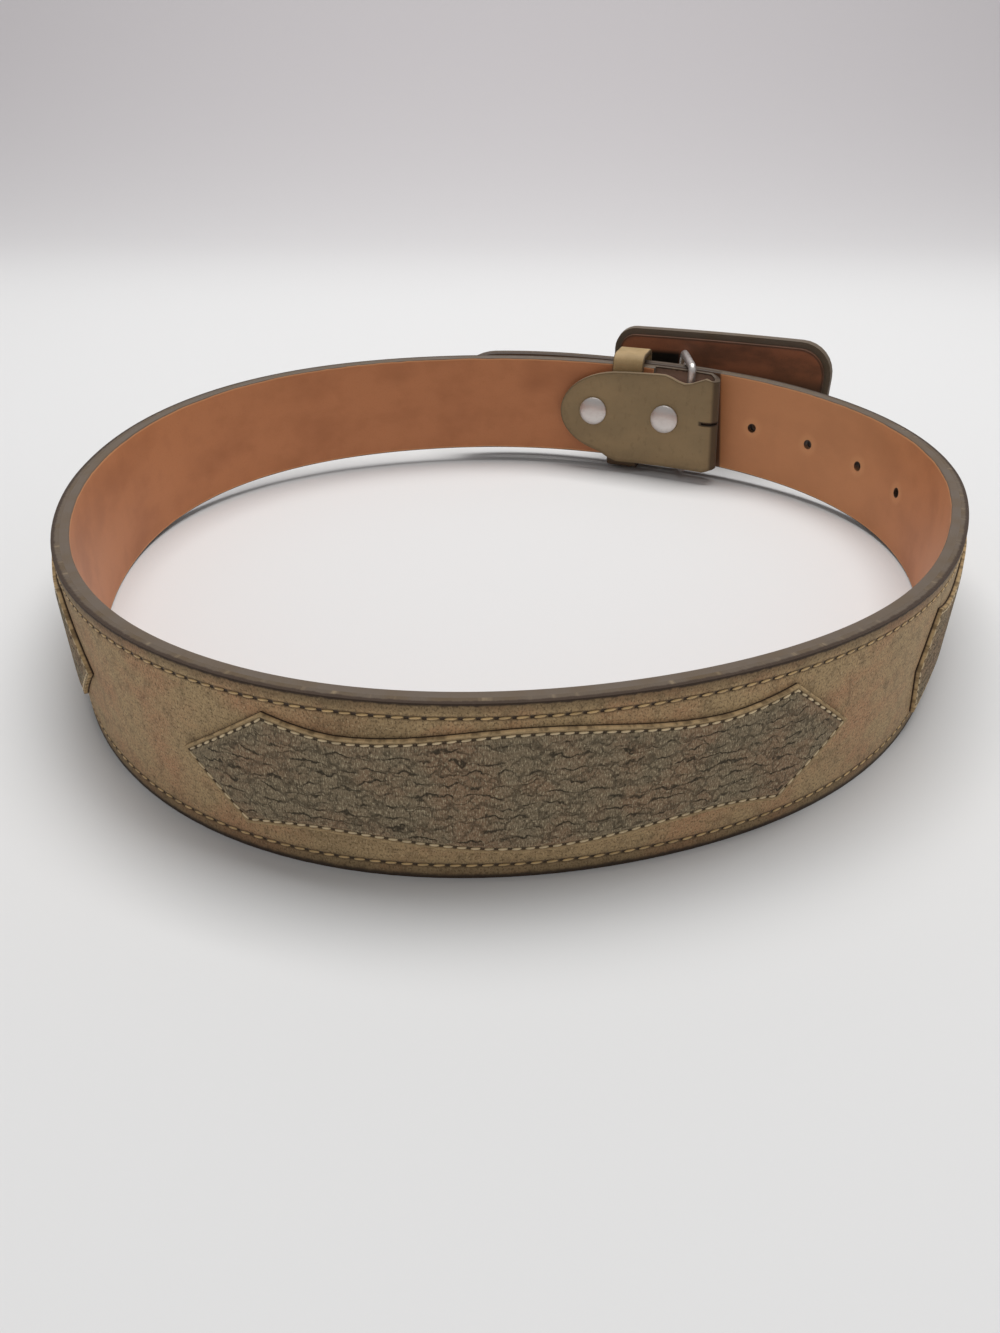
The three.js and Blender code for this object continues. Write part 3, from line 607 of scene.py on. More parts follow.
def new_finish(name, values):
    """A new material and its nodes, with the uniform values set on the shader itself."""
    material = bpy.data.materials.new(name)
    material.use_nodes = True
    for socket, value in values.items():
        material.node_tree.nodes["Principled BSDF"].inputs[socket].default_value = value
    return material, material.node_tree


def show(tree, outputs, relief=None, millimetres=0.0, strength=1.0):
    """Links patterns to the shader's sockets, and a relief with its height to the shader's normal."""
    shader = tree.nodes["Principled BSDF"]
    if relief is not None:
        outputs = {**outputs, "Normal": add_node(tree, "Bump", strength, millimetres * MM, None, relief)}
    for socket, output in outputs.items():
        tree.links.new(output, shader.inputs[socket])


def product(tree, *factors):
    """A product of numbers and outputs.

    A factor may also be a pattern with two limits, between which it goes smoothly from 0 to 1, or to a given
    value, or from one given value to another.
    """
    result = None
    for factor in factors:
        if isinstance(factor, tuple):
            pattern, low, high, *ends = factor
            start, end = (0.0, *(ends or [1.0]))[-2:]
            factor = add_node(
                tree, "MapRange", pattern, low, high, start, end, interpolation_type="SMOOTHSTEP"
            )
        result = factor if result is None else add_node(tree, "Math", result, factor, operation="MULTIPLY")
    return result


def add_up(tree, total, *parts):
    """A total, and each pattern times its weight."""
    for pattern, weight in parts:
        total = add_node(tree, "Math", pattern, weight, total, operation="MULTIPLY_ADD")
    return total


def reckon(tree, value, *steps):
    """A value after steps in turn, each an operation with its other number or output."""
    for operation, *others in steps:
        value = add_node(tree, "Math", value, *others, operation=operation)
    return value


def coats(tree, base, *rows):
    """Lays colours over one another. A row has a colour or its name, and the factors of its cover."""
    base = colour(base) if isinstance(base, str) else base
    for tone, *factors in rows:
        tone = colour(tone) if isinstance(tone, str) else tone
        base = add_node(tree, "Mix", product(tree, *factors), base, tone, data_type="RGBA")
    return base


def read_map(tree, name):
    """A UV map and its two values."""
    uv = add_node(tree, "UVMap", uv_map=name)
    return uv, *(add_node(tree, "SeparateXYZ", uv, output=axis) for axis in "XY")


def object_axis(tree, axis):
    return add_node(tree, "SeparateXYZ", add_node(tree, "TexCoord", output="Object"), output=axis)


def clouds_of(tree, vector, size, detail=3.0, stretch=(1, 1, 1), rough=0.5, turn=0.0):
    """Clouds about size apart, in the vector's own unit."""
    placed = add_node(tree, "Mapping", vector, None, (0, 0, turn), tuple(share / size for share in stretch))
    return add_node(tree, "TexNoise", placed, 1.0, detail, rough)


def cells_of(tree, vector, size, stretch=(1, 1, 1), feature="DISTANCE_TO_EDGE"):
    """Distances in a pattern of cells about size across."""
    placed = add_node(tree, "Mapping", vector, None, None, tuple(share / size for share in stretch))
    return add_node(tree, "TexVoronoi", placed, 1.0, feature=feature)


def needle_holes(tree):
    """How much of a needle hole there is at a place, and how far it is from the seam."""
    _, stitches, apart = read_map(tree, "seam")
    part = reckon(tree, stitches, ("PINGPONG", 0.5))
    return product(tree, (part, 0.19, 0.1), (apart, 0.42, 0.2)), apart


def adjusting_hole(tree, run, height):
    """The distance from the nearest adjusting hole's middle."""
    pitch, first = HOLE_PITCH / MM, HOLE_FIRST / MM
    last = first + pitch * (HOLE_COUNT - 1)
    place = reckon(tree, run, ("SUBTRACT", first), ("DIVIDE", pitch))
    nearest = reckon(tree, place, ("ROUND",), ("MINIMUM", HOLE_COUNT - 1.0), ("MAXIMUM", 0.0))
    aside = reckon(tree, place, ("SUBTRACT", nearest), ("MULTIPLY", pitch))
    middles = [float(width_at(at * MM)) / 2 / MM for at in (first, last)]
    above = reckon(tree, height, ("SUBTRACT", add_node(tree, "MapRange", run, first, last, *middles)))
    squares = add_up(tree, product(tree, aside, aside), (above, above))
    return reckon(tree, squares, ("SQRT",))


def paint_edge(tree, base, height, share):
    """The painted cut edge with its dark burnished outer line, over a leather's own colour."""
    uv, _, _ = read_map(tree, "pattern")
    _, distance, depth = read_map(tree, "section")
    wobble = add_up(tree, -0.45, (clouds_of(tree, uv, 1.8), 0.9))
    # The burnished line is twice as wide along the strap's lower edge.
    place = product(tree, add_up(tree, wobble, (distance, 1.0)), (height, 8.0, 4.0, 1.0, 0.5))
    fade = clouds_of(tree, uv, 7, 4.0)
    nicks = clouds_of(tree, uv, 2.2)
    paint = coats(tree, "rim", ("face_dark", (fade, 0.4, 0.7, 0.75)), ("face_pale", (nicks, 0.55, 0.8, 0.2)))
    edge = coats(tree, "rim_dark", (paint, (add_up(tree, wobble, (depth, 1.0)), 0.65, 1.25)))
    return coats(
        tree,
        base,
        ("face_dark", (place, 3.3, 0.7, 0.55), share),
        ("rim_dark", (place, 0.85, 0.3), share),
        (edge, (distance, 0.34, 0.14), share),
    )


def nubuck():
    """Waxed nubuck cowhide: matte and clouded, with open pores, pale fibres and darker rubbed places.

    The tab, where its pattern's run is below zero, is rubbed smooth and more olive. Real pores and fibres are
    finer than half a millimetre, and these are drawn as coarse as they need to be to show.
    """
    values = {"Roughness": 0.8, "Specular IOR Level": 0.28, "Sheen Weight": 0.05}
    material, tree = new_finish("olive tan waxed nubuck", values)
    uv, run, height = read_map(tree, "pattern")
    _, _, depth = read_map(tree, "section")
    clouds = clouds_of(tree, uv, 24, 5.0, (1, 1.5, 1), 0.6)
    patches = clouds_of(tree, uv, 40, 4.0, rough=0.6, turn=0.6)
    mottle = clouds_of(tree, uv, 3.2, 6.0, (1.2, 0.8, 1), 0.65)
    pores = clouds_of(tree, uv, 0.55, 3.0, (1.15, 0.85, 1), 0.7)
    fibres = clouds_of(tree, uv, 0.45, 2.0, (1.5, 0.5, 1))
    on_tab = product(tree, (run, -1.0, -5.0))
    tab = coats(tree, "tab", ("face", (clouds, 0.4, 0.7, 0.25)), ("face_dark", (mottle, 0.5, 0.75, 0.25)))
    holes, apart = needle_holes(tree)
    base = coats(
        tree,
        "face",
        ("face_warm", (clouds, 0.42, 0.66)),
        ("face_dark", (patches, 0.5, 0.7, 0.35)),
        ("face_dark", (mottle, 0.46, 0.7, 0.5)),
        ("face_pale", (fibres, 0.54, 0.72, 0.65)),
        ("face_dark", (pores, 0.47, 0.66, 0.75)),
        (tab, on_tab),
        # Painted shade in the pressed groove along the stitches.
        ("face_dark", (apart, 0.85, 0.35, 0.65)),
        # Painted shade: the needle holes, which no geometry punches, are dark.
        ("rim_dark", holes),
        ("flesh", (depth, 1.7, 2.0)),
    )
    base = paint_edge(tree, base, height, product(tree, (on_tab, 0.0, 1.0, 1.0, 0.25)))
    from_bend = reckon(tree, run, ("ADD", (FOLD_LAST - FOLD_FIRST) / MM / 2), ("ABSOLUTE",))
    from_slit = reckon(tree, height, ("SUBTRACT", SLIT_HEIGHT / MM), ("ABSOLUTE",))
    base = coats(
        tree,
        base,
        ("rim_dark", (adjusting_hole(tree, run, height), 2.3, 1.75)),
        # Painted shade: the bend of the fold is darkened for the shadow in the gap between it and the lining.
        ("rim_dark", (from_bend, 3.6, 2.2, 0.75)),
        ("rim_dark", (from_slit, 1.1, 0.65), (run, -13.0, -12.0), (run, -3.0, -4.5), 0.85),
    )
    relief = add_up(tree, mottle, (fibres, 0.5), (pores, -0.6))
    relief = product(tree, relief, (on_tab, 0.0, 1.0, 1.0, 0.3))
    show(tree, {"Base Color": base}, add_up(tree, relief, (holes, -2.0)), 0.2, 0.8)
    return material


def lining_leather():
    """Vegetable tanned lining: smooth and orange tan, satin, with soft stains from the body.

    Its edges are painted over a pale bevel and it is cleaner towards the tip. Beside the fold it has a dark
    line of painted shade.
    """
    values = {"Roughness": 0.52, "Specular IOR Level": 0.35}
    material, tree = new_finish("vegetable tanned lining leather", values)
    uv, run, height = read_map(tree, "pattern")
    _, distance, _ = read_map(tree, "section")
    stains = clouds_of(tree, uv, 32, 4.0, (1, 1.6, 1))
    soft = clouds_of(tree, uv, 9)
    grain = clouds_of(tree, uv, 0.7)
    bevel = add_up(tree, distance, (soft, 0.5))
    paint = coats(tree, "rim", ("face_dark", (soft, 0.35, 0.7, 0.6)))
    from_hole = adjusting_hole(tree, run, height)
    upright = add_up(tree, run, (height, -0.12))
    beside_fold = float(np.interp(ANGLES[0] + 360, ANGLES, RUNS)) / MM - 4.5
    base = coats(
        tree,
        "lining",
        ("lining_dark", (stains, 0.42, 0.74, 0.65)),
        ("lining_dark", (soft, 0.45, 0.8, 0.3)),
        ("lining_dark", (grain, 0.5, 0.8, 0.25)),
        ("lining_pale", (run, 715.0, 790.0, 0.35)),
        ("lining_pale", (bevel, 1.3, 0.8, 0.6)),
        (paint, (bevel, 0.75, 0.5)),
        ("lining_pale", (from_hole, 5.0, 2.6), 0.3),
        ("rim_dark", (from_hole, 1.95, 1.6)),
        # Painted shade: a dark line beside the fold, for the shadow in the gap between the fold and the lining.
        ("rim_dark", (upright, beside_fold - 1.0, beside_fold, 0.85)),
    )
    show(tree, {"Base Color": base}, add_up(tree, soft, (grain, 0.3)), 0.12, 0.5)
    return material


def shrunken_grain():
    """Shrunken bull hide: matte, with creases in wandering rows along it, and pale upright fibres.

    The rows lie 2.9 mm apart and finer creases join them. Along its stitches the hide is pressed flat. Its pits
    and fibres are drawn coarser than real ones, so that they show.
    """
    values = {"Roughness": 0.82, "Specular IOR Level": 0.22}
    material, tree = new_finish("shrunken grain overlay leather", values)
    uv, _, _ = read_map(tree, "pattern")
    _, distance, depth = read_map(tree, "section")
    warp = add_node(tree, "TexNoise", uv, 0.32, 3.0, output="Color")
    warped = add_node(tree, "VectorMath", warp, (4.0, 5.5, 0.0), uv, operation="MULTIPLY_ADD")
    across = add_node(tree, "SeparateXYZ", warped, output="Y")
    rows = reckon(tree, across, ("DIVIDE", 2.9), ("PINGPONG", 0.5))
    grains = cells_of(tree, warped, 2.4, (0.8, 1.2, 1), "F1")
    borders = cells_of(tree, warped, 3.4, (0.9, 1.1, 1))
    broken = clouds_of(tree, uv, 4, 2.0, (0.8, 1.4, 1))
    fibres = clouds_of(tree, uv, 0.5, 4.0, (1.7, 0.5, 1), 0.7)
    pits = clouds_of(tree, uv, 0.55, 3.0, (1.1, 0.9, 1), 0.65)
    clouds = clouds_of(tree, uv, 14, 4.0)
    lines = product(tree, (rows, 0.15, 0.03), (broken, 0.41, 0.57, 0.1, 0.85))
    joints = product(tree, (borders, 0.1, 0.02), (broken, 0.6, 0.45, 0.1, 0.5))
    open_grain = product(tree, (distance, 1.6, 2.6))
    crease = product(tree, reckon(tree, lines, ("MAXIMUM", joints)), open_grain)
    pressed = coats(tree, "face", ("face_dark", (fibres, 0.4, 0.7, 0.6)))
    raw = coats(tree, "raw_edge", ("face_dark", (clouds_of(tree, uv, 2, 4.0), 0.42, 0.62, 0.7)))
    holes, apart = needle_holes(tree)
    base = coats(
        tree,
        "overlay",
        ("overlay_warm", (clouds, 0.42, 0.62)),
        ("overlay_dark", (pits, 0.5, 0.7, 0.6)),
        ("overlay_pale", (fibres, 0.51, 0.66, 0.9)),
        ("overlay_dark", (fibres, 0.46, 0.32, 0.6)),
        ("overlay_dark", crease),
        (pressed, (distance, 1.15, 0.8, 0.85)),
        # Painted shade in the pressed groove along the stitches.
        ("overlay_dark", (apart, 0.7, 0.2, 0.4)),
        (raw, (distance, 0.4, 0.15), 0.9),
        # Painted shade: the lower part of the cut edge is darkened as the shadow line at the overlay's foot.
        ("rim_dark", (depth, 0.6, 1.0)),
        # Painted shade: the needle holes, which no geometry punches, are dark.
        ("rim_dark", holes, 0.7),
    )
    domes = product(tree, (grains, 0.9, 0.0, 1.3))
    relief = add_up(tree, domes, (crease, -1.4), (fibres, 1.1), (pits, -0.6))
    relief = product(tree, relief, (open_grain, 0.0, 1.0, 0.35, 1.0))
    show(tree, {"Base Color": base}, add_up(tree, relief, (holes, -1.5)), 0.34, 0.85)
    return material


def plain_leather(name, tone, dark, roughness, cloud, relief, painted_shade_below=None):
    """A plain dyed leather with soft clouds, fine grain and pores.

    Where a height is given, its cut edges are darker, and below that height it is darkened with painted shade.
    """
    material, tree = new_finish(name, {"Roughness": roughness, "Specular IOR Level": 0.35})
    uv, _, _ = read_map(tree, "pattern")
    clouds = clouds_of(tree, uv, cloud, 4.0)
    grain = cells_of(tree, uv, 0.9)
    pores = clouds_of(tree, uv, 0.6, 2.0)
    base = coats(tree, tone, (dark, (clouds, 0.38, 0.72, 0.5)), (dark, (pores, 0.55, 0.75, 0.3)))
    if painted_shade_below:
        _, distance, _ = read_map(tree, "section")
        uneven = add_up(tree, distance, (clouds, 0.4))
        # Painted shade: below the given height, close above the floor, the leather is darkened.
        low = (object_axis(tree, "Z"), painted_shade_below + MM, painted_shade_below - MM, 0.85)
        base = coats(tree, base, ("rim_dark", (uneven, 0.9, 0.35, 0.7)), ("rim_dark", low))
    relief_pattern = add_up(tree, pores, (product(tree, (grain, 0.0, 0.3)), 0.6))
    show(tree, {"Base Color": base}, relief_pattern, relief, 0.6)
    return material


def backing_leather():
    """Smooth dark brown leather, handled to a soft shine, with painted shade low down and nearly black beside
    the bail.
    """
    values = {"Roughness": 0.45, "Specular IOR Level": 0.3}
    material, tree = new_finish("dark brown backing leather", values)
    uv, along, height = read_map(tree, "pattern")
    _, distance, _ = read_map(tree, "section")
    clouds = clouds_of(tree, uv, 20, 4.0, (1, 2, 1))
    pores = clouds_of(tree, uv, 0.6, 2.0)
    base = coats(
        tree,
        "backing",
        ("rim_dark", (clouds, 0.38, 0.7, 0.6)),
        ("rim_dark", (pores, 0.55, 0.75, 0.3)),
        ("rim_dark", (distance, 1.1, 0.4, 0.7)),
        # Painted shade: darker towards the bottom, close to the strap that stands beside it.
        ("rim_dark", (add_up(tree, height, (clouds, 6.0)), 44.0, 38.0, 0.8)),
        # Painted shade: nearly black in the gap between the keeper and the bail, where the strap shades it.
        ("pocket", (along, 75.5, 78.0), (along, 93.5, 91.5), (height, 46.0, 43.5)),
    )
    show(tree, {"Base Color": base}, pores, 0.06, 0.6)
    return material


def waxed_thread(name, tone):
    """Waxed polyester thread: a soft shine, and a fine unevenness that stands for its twist."""
    values = {"Roughness": 0.55, "Specular IOR Level": 0.4, "Sheen Weight": 0.2}
    material, tree = new_finish(name, values)
    place = add_node(tree, "TexCoord", output="Object")
    dark = tuple(part * 0.55 for part in colour(tone)[:3]) + (1.0,)
    base = coats(tree, tone, (dark, (clouds_of(tree, place, 3 * MM, 2.0), 0.35, 0.75, 0.6)))
    show(tree, {"Base Color": base}, clouds_of(tree, place, 0.25 * MM, 1.0), 0.1, 0.7)
    return material


def nickel_plate():
    """Bright nickel plate on steel: clear reflections, which fine scuffs blur in places. It is made once."""
    name = "bright nickel plate"
    if name in bpy.data.materials:
        return bpy.data.materials[name]
    material, tree = new_finish(name, {"Metallic": 1.0, "Base Color": colour("metal")})
    place = add_node(tree, "TexCoord", output="Object")
    scuffs = clouds_of(tree, place, 1.2 * MM, 4.0, (1, 1, 3))
    roughness = product(tree, (scuffs, 0.35, 0.75, 0.34, 0.6))
    show(tree, {"Roughness": roughness}, clouds_of(tree, place, 0.6 * MM), 0.02, 0.5)
    return material


def pale_floor():
    """Plain matte board under the belt, greyed with painted shade where it turns up into the backdrop."""
    material, tree = new_finish("plain pale board", {"Roughness": 0.7, "Specular IOR Level": 0.2})
    show(tree, {"Base Color": coats(tree, "floor", ("backdrop", (object_axis(tree, "Y"), 0.4, 1.15)))})
    return material


# Outlines on the table.


def outline_between(distances, edges):
    """A counter-clockwise outline along the lower edge and back along the upper one."""
    low, high = edges(distances)
    there = np.column_stack((distances, low))
    back = np.column_stack((distances, high))[::-1]
    outline = np.vstack((there, back))
    apart = np.linalg.norm(outline - np.roll(outline, 1, axis=0), axis=1)
    return outline[apart > 0.02 * MM]


def even(start, end, step):
    return np.linspace(start, end, max(2, round((end - start) / step) + 1))


# Angles of the points round the strap's tip and the tab's tongue.
ROUND_TURNS = np.radians(np.linspace(8, 90, 12))


def tip_runs():
    """Runs round the tip, closer together towards its end."""
    return STRAP_LENGTH - TIP_ROUND + TIP_ROUND * np.sin(ROUND_TURNS)


def strap_runs(start):
    return np.concatenate((even(start, STRAP_LENGTH - TIP_ROUND, COLUMN), tip_runs()))


def overlay_half(away, half, corner):
    """Half the overlay's height at a distance from its middle."""
    dip = corner * OVERLAY_DIP_SHARE
    wave = (1 - np.cos(math.pi * np.minimum(away, dip) / dip)) / 2
    inner = OVERLAY_MIDDLE + (OVERLAY_DIP - OVERLAY_MIDDLE) * wave
    rise = np.clip((away - dip) / (corner - dip), 0, 1) ** OVERLAY_HOLLOW
    rising = OVERLAY_DIP + (OVERLAY_CORNER - OVERLAY_DIP) * rise
    point = OVERLAY_CORNER * (1 - np.clip((away - corner) / (half - corner), 0, 1))
    return np.where(away < dip, inner, np.where(away < corner, rising, point))


def overlay_side(name, way):
    """The upper side of an overlay where way is 1, or the lower where it is -1, from left to right."""
    middle, half, corner, skew, raised = OVERLAYS[name]
    left, right = corner - way * skew, corner
    slant = min(6 * MM, (half - corner - abs(skew)) / 3)
    offsets = np.concatenate(
        (
            [-half],
            even(-half + slant, -left, 3 * MM),
            even(-left, right, 3 * MM)[1:-1],
            even(right, half - slant, 3 * MM),
            [half],
        )
    )
    halves = overlay_half(np.abs(offsets), half, np.where(offsets < 0, left, right))
    runs = middle + offsets
    return np.column_stack((runs, width_at(runs) / 2 + raised + way * halves))


def overlay_outline(name):
    return np.vstack((overlay_side(name, -1), overlay_side(name, 1)[::-1][1:-1]))


def rounded_rectangle(left, right, low, high, corner, left_corner=None, steps=8):
    """A counter-clockwise rounded rectangle, with other corners on its left where they are given."""
    left_corner = corner if left_corner is None else left_corner
    centres = (
        (right - corner, low + corner, corner),
        (right - corner, high - corner, corner),
        (left + left_corner, high - left_corner, left_corner),
        (left + left_corner, low + left_corner, left_corner),
    )
    points = []
    for quarter, (x, y, radius) in enumerate(centres):
        for turn in np.linspace(quarter - 1, quarter, steps + 1) * math.pi / 2:
            points.append((x + radius * math.cos(turn), y + radius * math.sin(turn)))
    return np.array(points)


def fill_sides(outline, step):
    """The same outline with its long sides divided into steps."""
    points = []
    for start, end in zip(outline, np.roll(outline, -1, axis=0)):
        count = max(1, round(np.linalg.norm(end - start) / step))
        points += [start + (end - start) * i / count for i in range(count)]
    return np.array(points)


# The outer leather's own path: down the tab, round the fold and along the strap, at its middle depth.


def face_path():
    tab = even(0, TONGUE_START + TONGUE_REACH, 2 * MM)[::-1]
    tab_line = plan_at(tab, tab_depth(tab) + FACE / 2)
    outer = (TAB_DEPTH + FACE) / 2
    centre = plan_at(0.0, outer)
    along = along_at(0.0)
    inward = np.array((-along[1], along[0]))
    turns = np.linspace(0, math.pi, 17)[1:-1, None]
    fold_line = centre + (outer - FACE / 2) * (inward * np.cos(turns) - along * np.sin(turns))
    body = even(0, RUNS[-1], 2 * MM)
    points = np.vstack((tab_line, fold_line, plan_at(body, FACE / 2)))
    lengths = lengths_along(points)
    runs = np.concatenate((-tab, np.zeros(len(fold_line)), body))
    folded = np.concatenate((np.zeros(len(tab)), np.linspace(0, 1, 17)[1:-1], np.ones(len(body))))
    return points, lengths, runs, folded


FACE_POINTS, FACE_LENGTHS, FACE_RUNS, FACE_FOLDED = face_path()
TAB_COUNT = int((FACE_FOLDED == 0).sum())
BODY_FIRST = int(np.argmax(FACE_FOLDED == 1))
FOLD_FIRST, FOLD_LAST = FACE_LENGTHS[TAB_COUNT - 1], FACE_LENGTHS[BODY_FIRST]


def face_length_at(run):
    """The distance along the outer leather of a run on the strap's body."""
    return np.interp(run, FACE_RUNS[BODY_FIRST:], FACE_LENGTHS[BODY_FIRST:])


def tab_length_at(run):
    return np.interp(-run, FACE_RUNS[:TAB_COUNT], FACE_LENGTHS[:TAB_COUNT])


def face_run_at(length):
    """The run at a distance along the outer leather; it is below zero on the tab."""
    before = np.minimum(length - FOLD_FIRST, 0)
    tab = -np.interp(length, FACE_LENGTHS[:TAB_COUNT], -FACE_RUNS[:TAB_COUNT])
    body = np.interp(length, FACE_LENGTHS[BODY_FIRST:], FACE_RUNS[BODY_FIRST:])
    return np.where(before < 0, tab, body)


def pattern_run(length):
    """The run that the leather's pattern follows: even through the fold and down the tab."""
    return np.where(length < FOLD_LAST, length - FOLD_LAST, face_run_at(length))


def face_edges(length):
    run = face_run_at(length)
    share = np.clip((length - FOLD_FIRST) / (FOLD_LAST - FOLD_FIRST), 0, 1)
    tab_low, tab_high = tab_edges(np.maximum(-run, 0))
    low, high = strap_edges(np.maximum(run, 0))
    draw = FOLD_DRAW * np.sin(math.pi * share)
    return tab_low + (low - tab_low) * share + draw, tab_high + (high - tab_high) * share - draw


def face_lift(length):
    return lift_at(np.abs(face_run_at(length)))


def strap_seam(start):
    """The row of stitches along both edges and round the tip, from a run near the fold."""
    runs = strap_runs(start)
    low, high = strap_edges(runs)
    line = np.vstack((np.column_stack((runs, low)), np.column_stack((runs, high))[::-1][1:]))
    return inset_line(line, sizes().edge_margin, closed=False)


def plate_plan(along, out):
    """A place on the plate seen from above: along it from its middle, and out from its back face."""
    way = np.array((math.cos(PLATE_TURN), math.sin(PLATE_TURN)))
    outwards = np.array((-way[1], way[0]))
    turn = np.asarray(along)[..., None] / PLATE_BOW
    radius = PLATE_BOW + out - PLATE_THICKNESS / 2
    return PLATE_MIDDLE + way * radius * np.sin(turn) + outwards * (radius * np.cos(turn) - PLATE_BOW)


# The plate's path runs from its right end to its left one, so that its front is on the outside.
PLATE_REACH = 60 * MM
BEND_LINES = {
    "ring_path": RING,
    "face_path": FACE_POINTS,
    "plate_path": plate_plan(even(-PLATE_REACH, PLATE_REACH, 2 * MM)[::-1], PLATE_THICKNESS / 2),
}


def bend_path(name):
    """A path object that pieces are bent along, made when it is first asked for."""
    return bpy.data.objects.get(name) or path_object(name, BEND_LINES[name])


def no_lift(distance):
    return np.zeros_like(distance)


class BELT_OT_outer_leather(bpy.types.Operator):
    """Cuts the outer leather with its tab, punches it and bends it round the fold and the ring"""

    bl_idname = "belt.outer_leather"
    bl_label = "Outer leather"

    def execute(self, context):
        tongue = TONGUE_START + TONGUE_REACH * np.sin(ROUND_TURNS[::-1])
        lengths = np.concatenate(
            (
                tab_length_at(tongue),
                tab_length_at(even(0, TONGUE_START, TAB_COLUMN)[::-1]),
                np.linspace(FOLD_FIRST, FOLD_LAST, 5)[1:-1],
                face_length_at(strap_runs(0)),
            )
        )
        outline = outline_between(lengths, face_edges)
        # The cuts keep clear of the outline's own points, and of the round tip.
        tab_cuts = even(TAB_COLUMN, FOLD_FIRST, TAB_COLUMN)
        fold_cuts = np.linspace(FOLD_FIRST, FOLD_LAST, 10)[:-1] + 0.4 * MM
        strap_cuts = even(FOLD_LAST + COLUMN / 2, float(face_length_at(STRAP_LENGTH)) - TIP_CLEAR, COLUMN)
        cuts = np.concatenate((tab_cuts, fold_cuts, strap_cuts))
        piece = cut_out("strap_face_leather", outline, RING_INSETS, cuts)
        thicken(piece, FACE, -FACE / 2)
        round_rim(piece, 0, 1, RIM)
        seam = strap_seam(SEAM_START)
        flat_seam = np.column_stack((face_length_at(seam[:, 0]), seam[:, 1]))
        press_seam(piece, flat_seam, False, FACE / 2, SEAM_WIDTH)
        cutters = [round_cutter(face_length_at(run), width_at(run) / 2, HOLE) for run in HOLE_RUNS]
        for run, height in SNAPS.values():
            cutters.append(round_cutter(face_length_at(run), height, SNAP_POST))
            cutters.append(round_cutter(tab_length_at(run), height, SNAP_POST))
        start, end = tab_length_at(SLIT_RUN), (FOLD_FIRST + FOLD_LAST) / 2
        bpy.ops.object.select_all(action="DESELECT")
        bpy.ops.mesh.primitive_cube_add(size=1, location=((start + end) / 2, SLIT_HEIGHT, 0))
        slit = bpy.context.object
        slit.scale = (end - start, SLIT_WIDTH, 20 * MM)
        bpy.ops.object.transform_apply(location=True, rotation=False, scale=True)
        cutters.append(slit)
        punch(piece, cutters)
        mark_leather(piece, outline, FACE / 2, flat_seam, False, sizes().edge_stitch, pattern_run)
        stand_and_bend(piece, bend_path("face_path"), face_lift)
        self.lean_fold(piece)
        dress(piece, nubuck())
        finish_piece(piece, "strap_face")
        return {"FINISHED"}

    @staticmethod
    def lean_fold(piece):
        """Leans the bend, so that its top lies further along the strap than its bottom."""
        places = places_of(piece)
        along = along_at(0.0)
        away = np.abs((places[:, :2] - plan_at(0.0, FACE)) @ along)
        near = np.linalg.norm(places[:, :2] - plan_at(0.0, FACE), axis=1) < LEAN_REACH
        height = (places[:, 2] - lift_at(0.0)) / NARROW * 2 - 1
        share = near * (1 - smooth_step(away, LEAN_WHOLE, LEAN_GONE))
        places[:, :2] += (share * height * FOLD_LEAN)[:, None] * along
        put(piece, places)


class BELT_OT_lining(bpy.types.Operator):
    """Cuts the tan lining, punches it and bends it along the ring"""

    bl_idname = "belt.lining"
    bl_label = "Lining"

    def execute(self, context):
        outline = outline_between(strap_runs(LINING_START), strap_edges)
        cuts = even(LINING_START + COLUMN / 2, STRAP_LENGTH - TIP_CLEAR, COLUMN)
        piece = cut_out("lining_leather", outline, RING_INSETS, cuts)
        thicken(piece, STRAP - FACE, -STRAP)
        round_rim(piece, -(STRAP + FACE) / 2, -1, RIM)
        cutters = [round_cutter(run, width_at(run) / 2, HOLE) for run in HOLE_RUNS]
        run, height = SNAPS["snap_2"]
        cutters.append(round_cutter(run, height, SNAP_POST))
        punch(piece, cutters)
        mark_leather(piece, outline, -FACE)
        stand_and_bend(piece, bend_path("ring_path"), lift_at)
        dress(piece, lining_leather())
        finish_piece(piece, "lining")
        return {"FINISHED"}


class BELT_OT_edge_stitches(bpy.types.Operator):
    """Sews the rows of stitches along the strap's edges and round its tip"""

    bl_idname = "belt.edge_stitches"
    bl_label = "Edge stitches"

    def execute(self, context):
        sew(
            "edge_stitches",
            strap_seam(SEAM_START),
            closed=False,
            pitch=sizes().edge_stitch,
            top=0,
            path=bend_path("ring_path"),
            lift=lift_at,
            material=waxed_thread("golden tan waxed thread", "edge_thread"),
        )
        return {"FINISHED"}


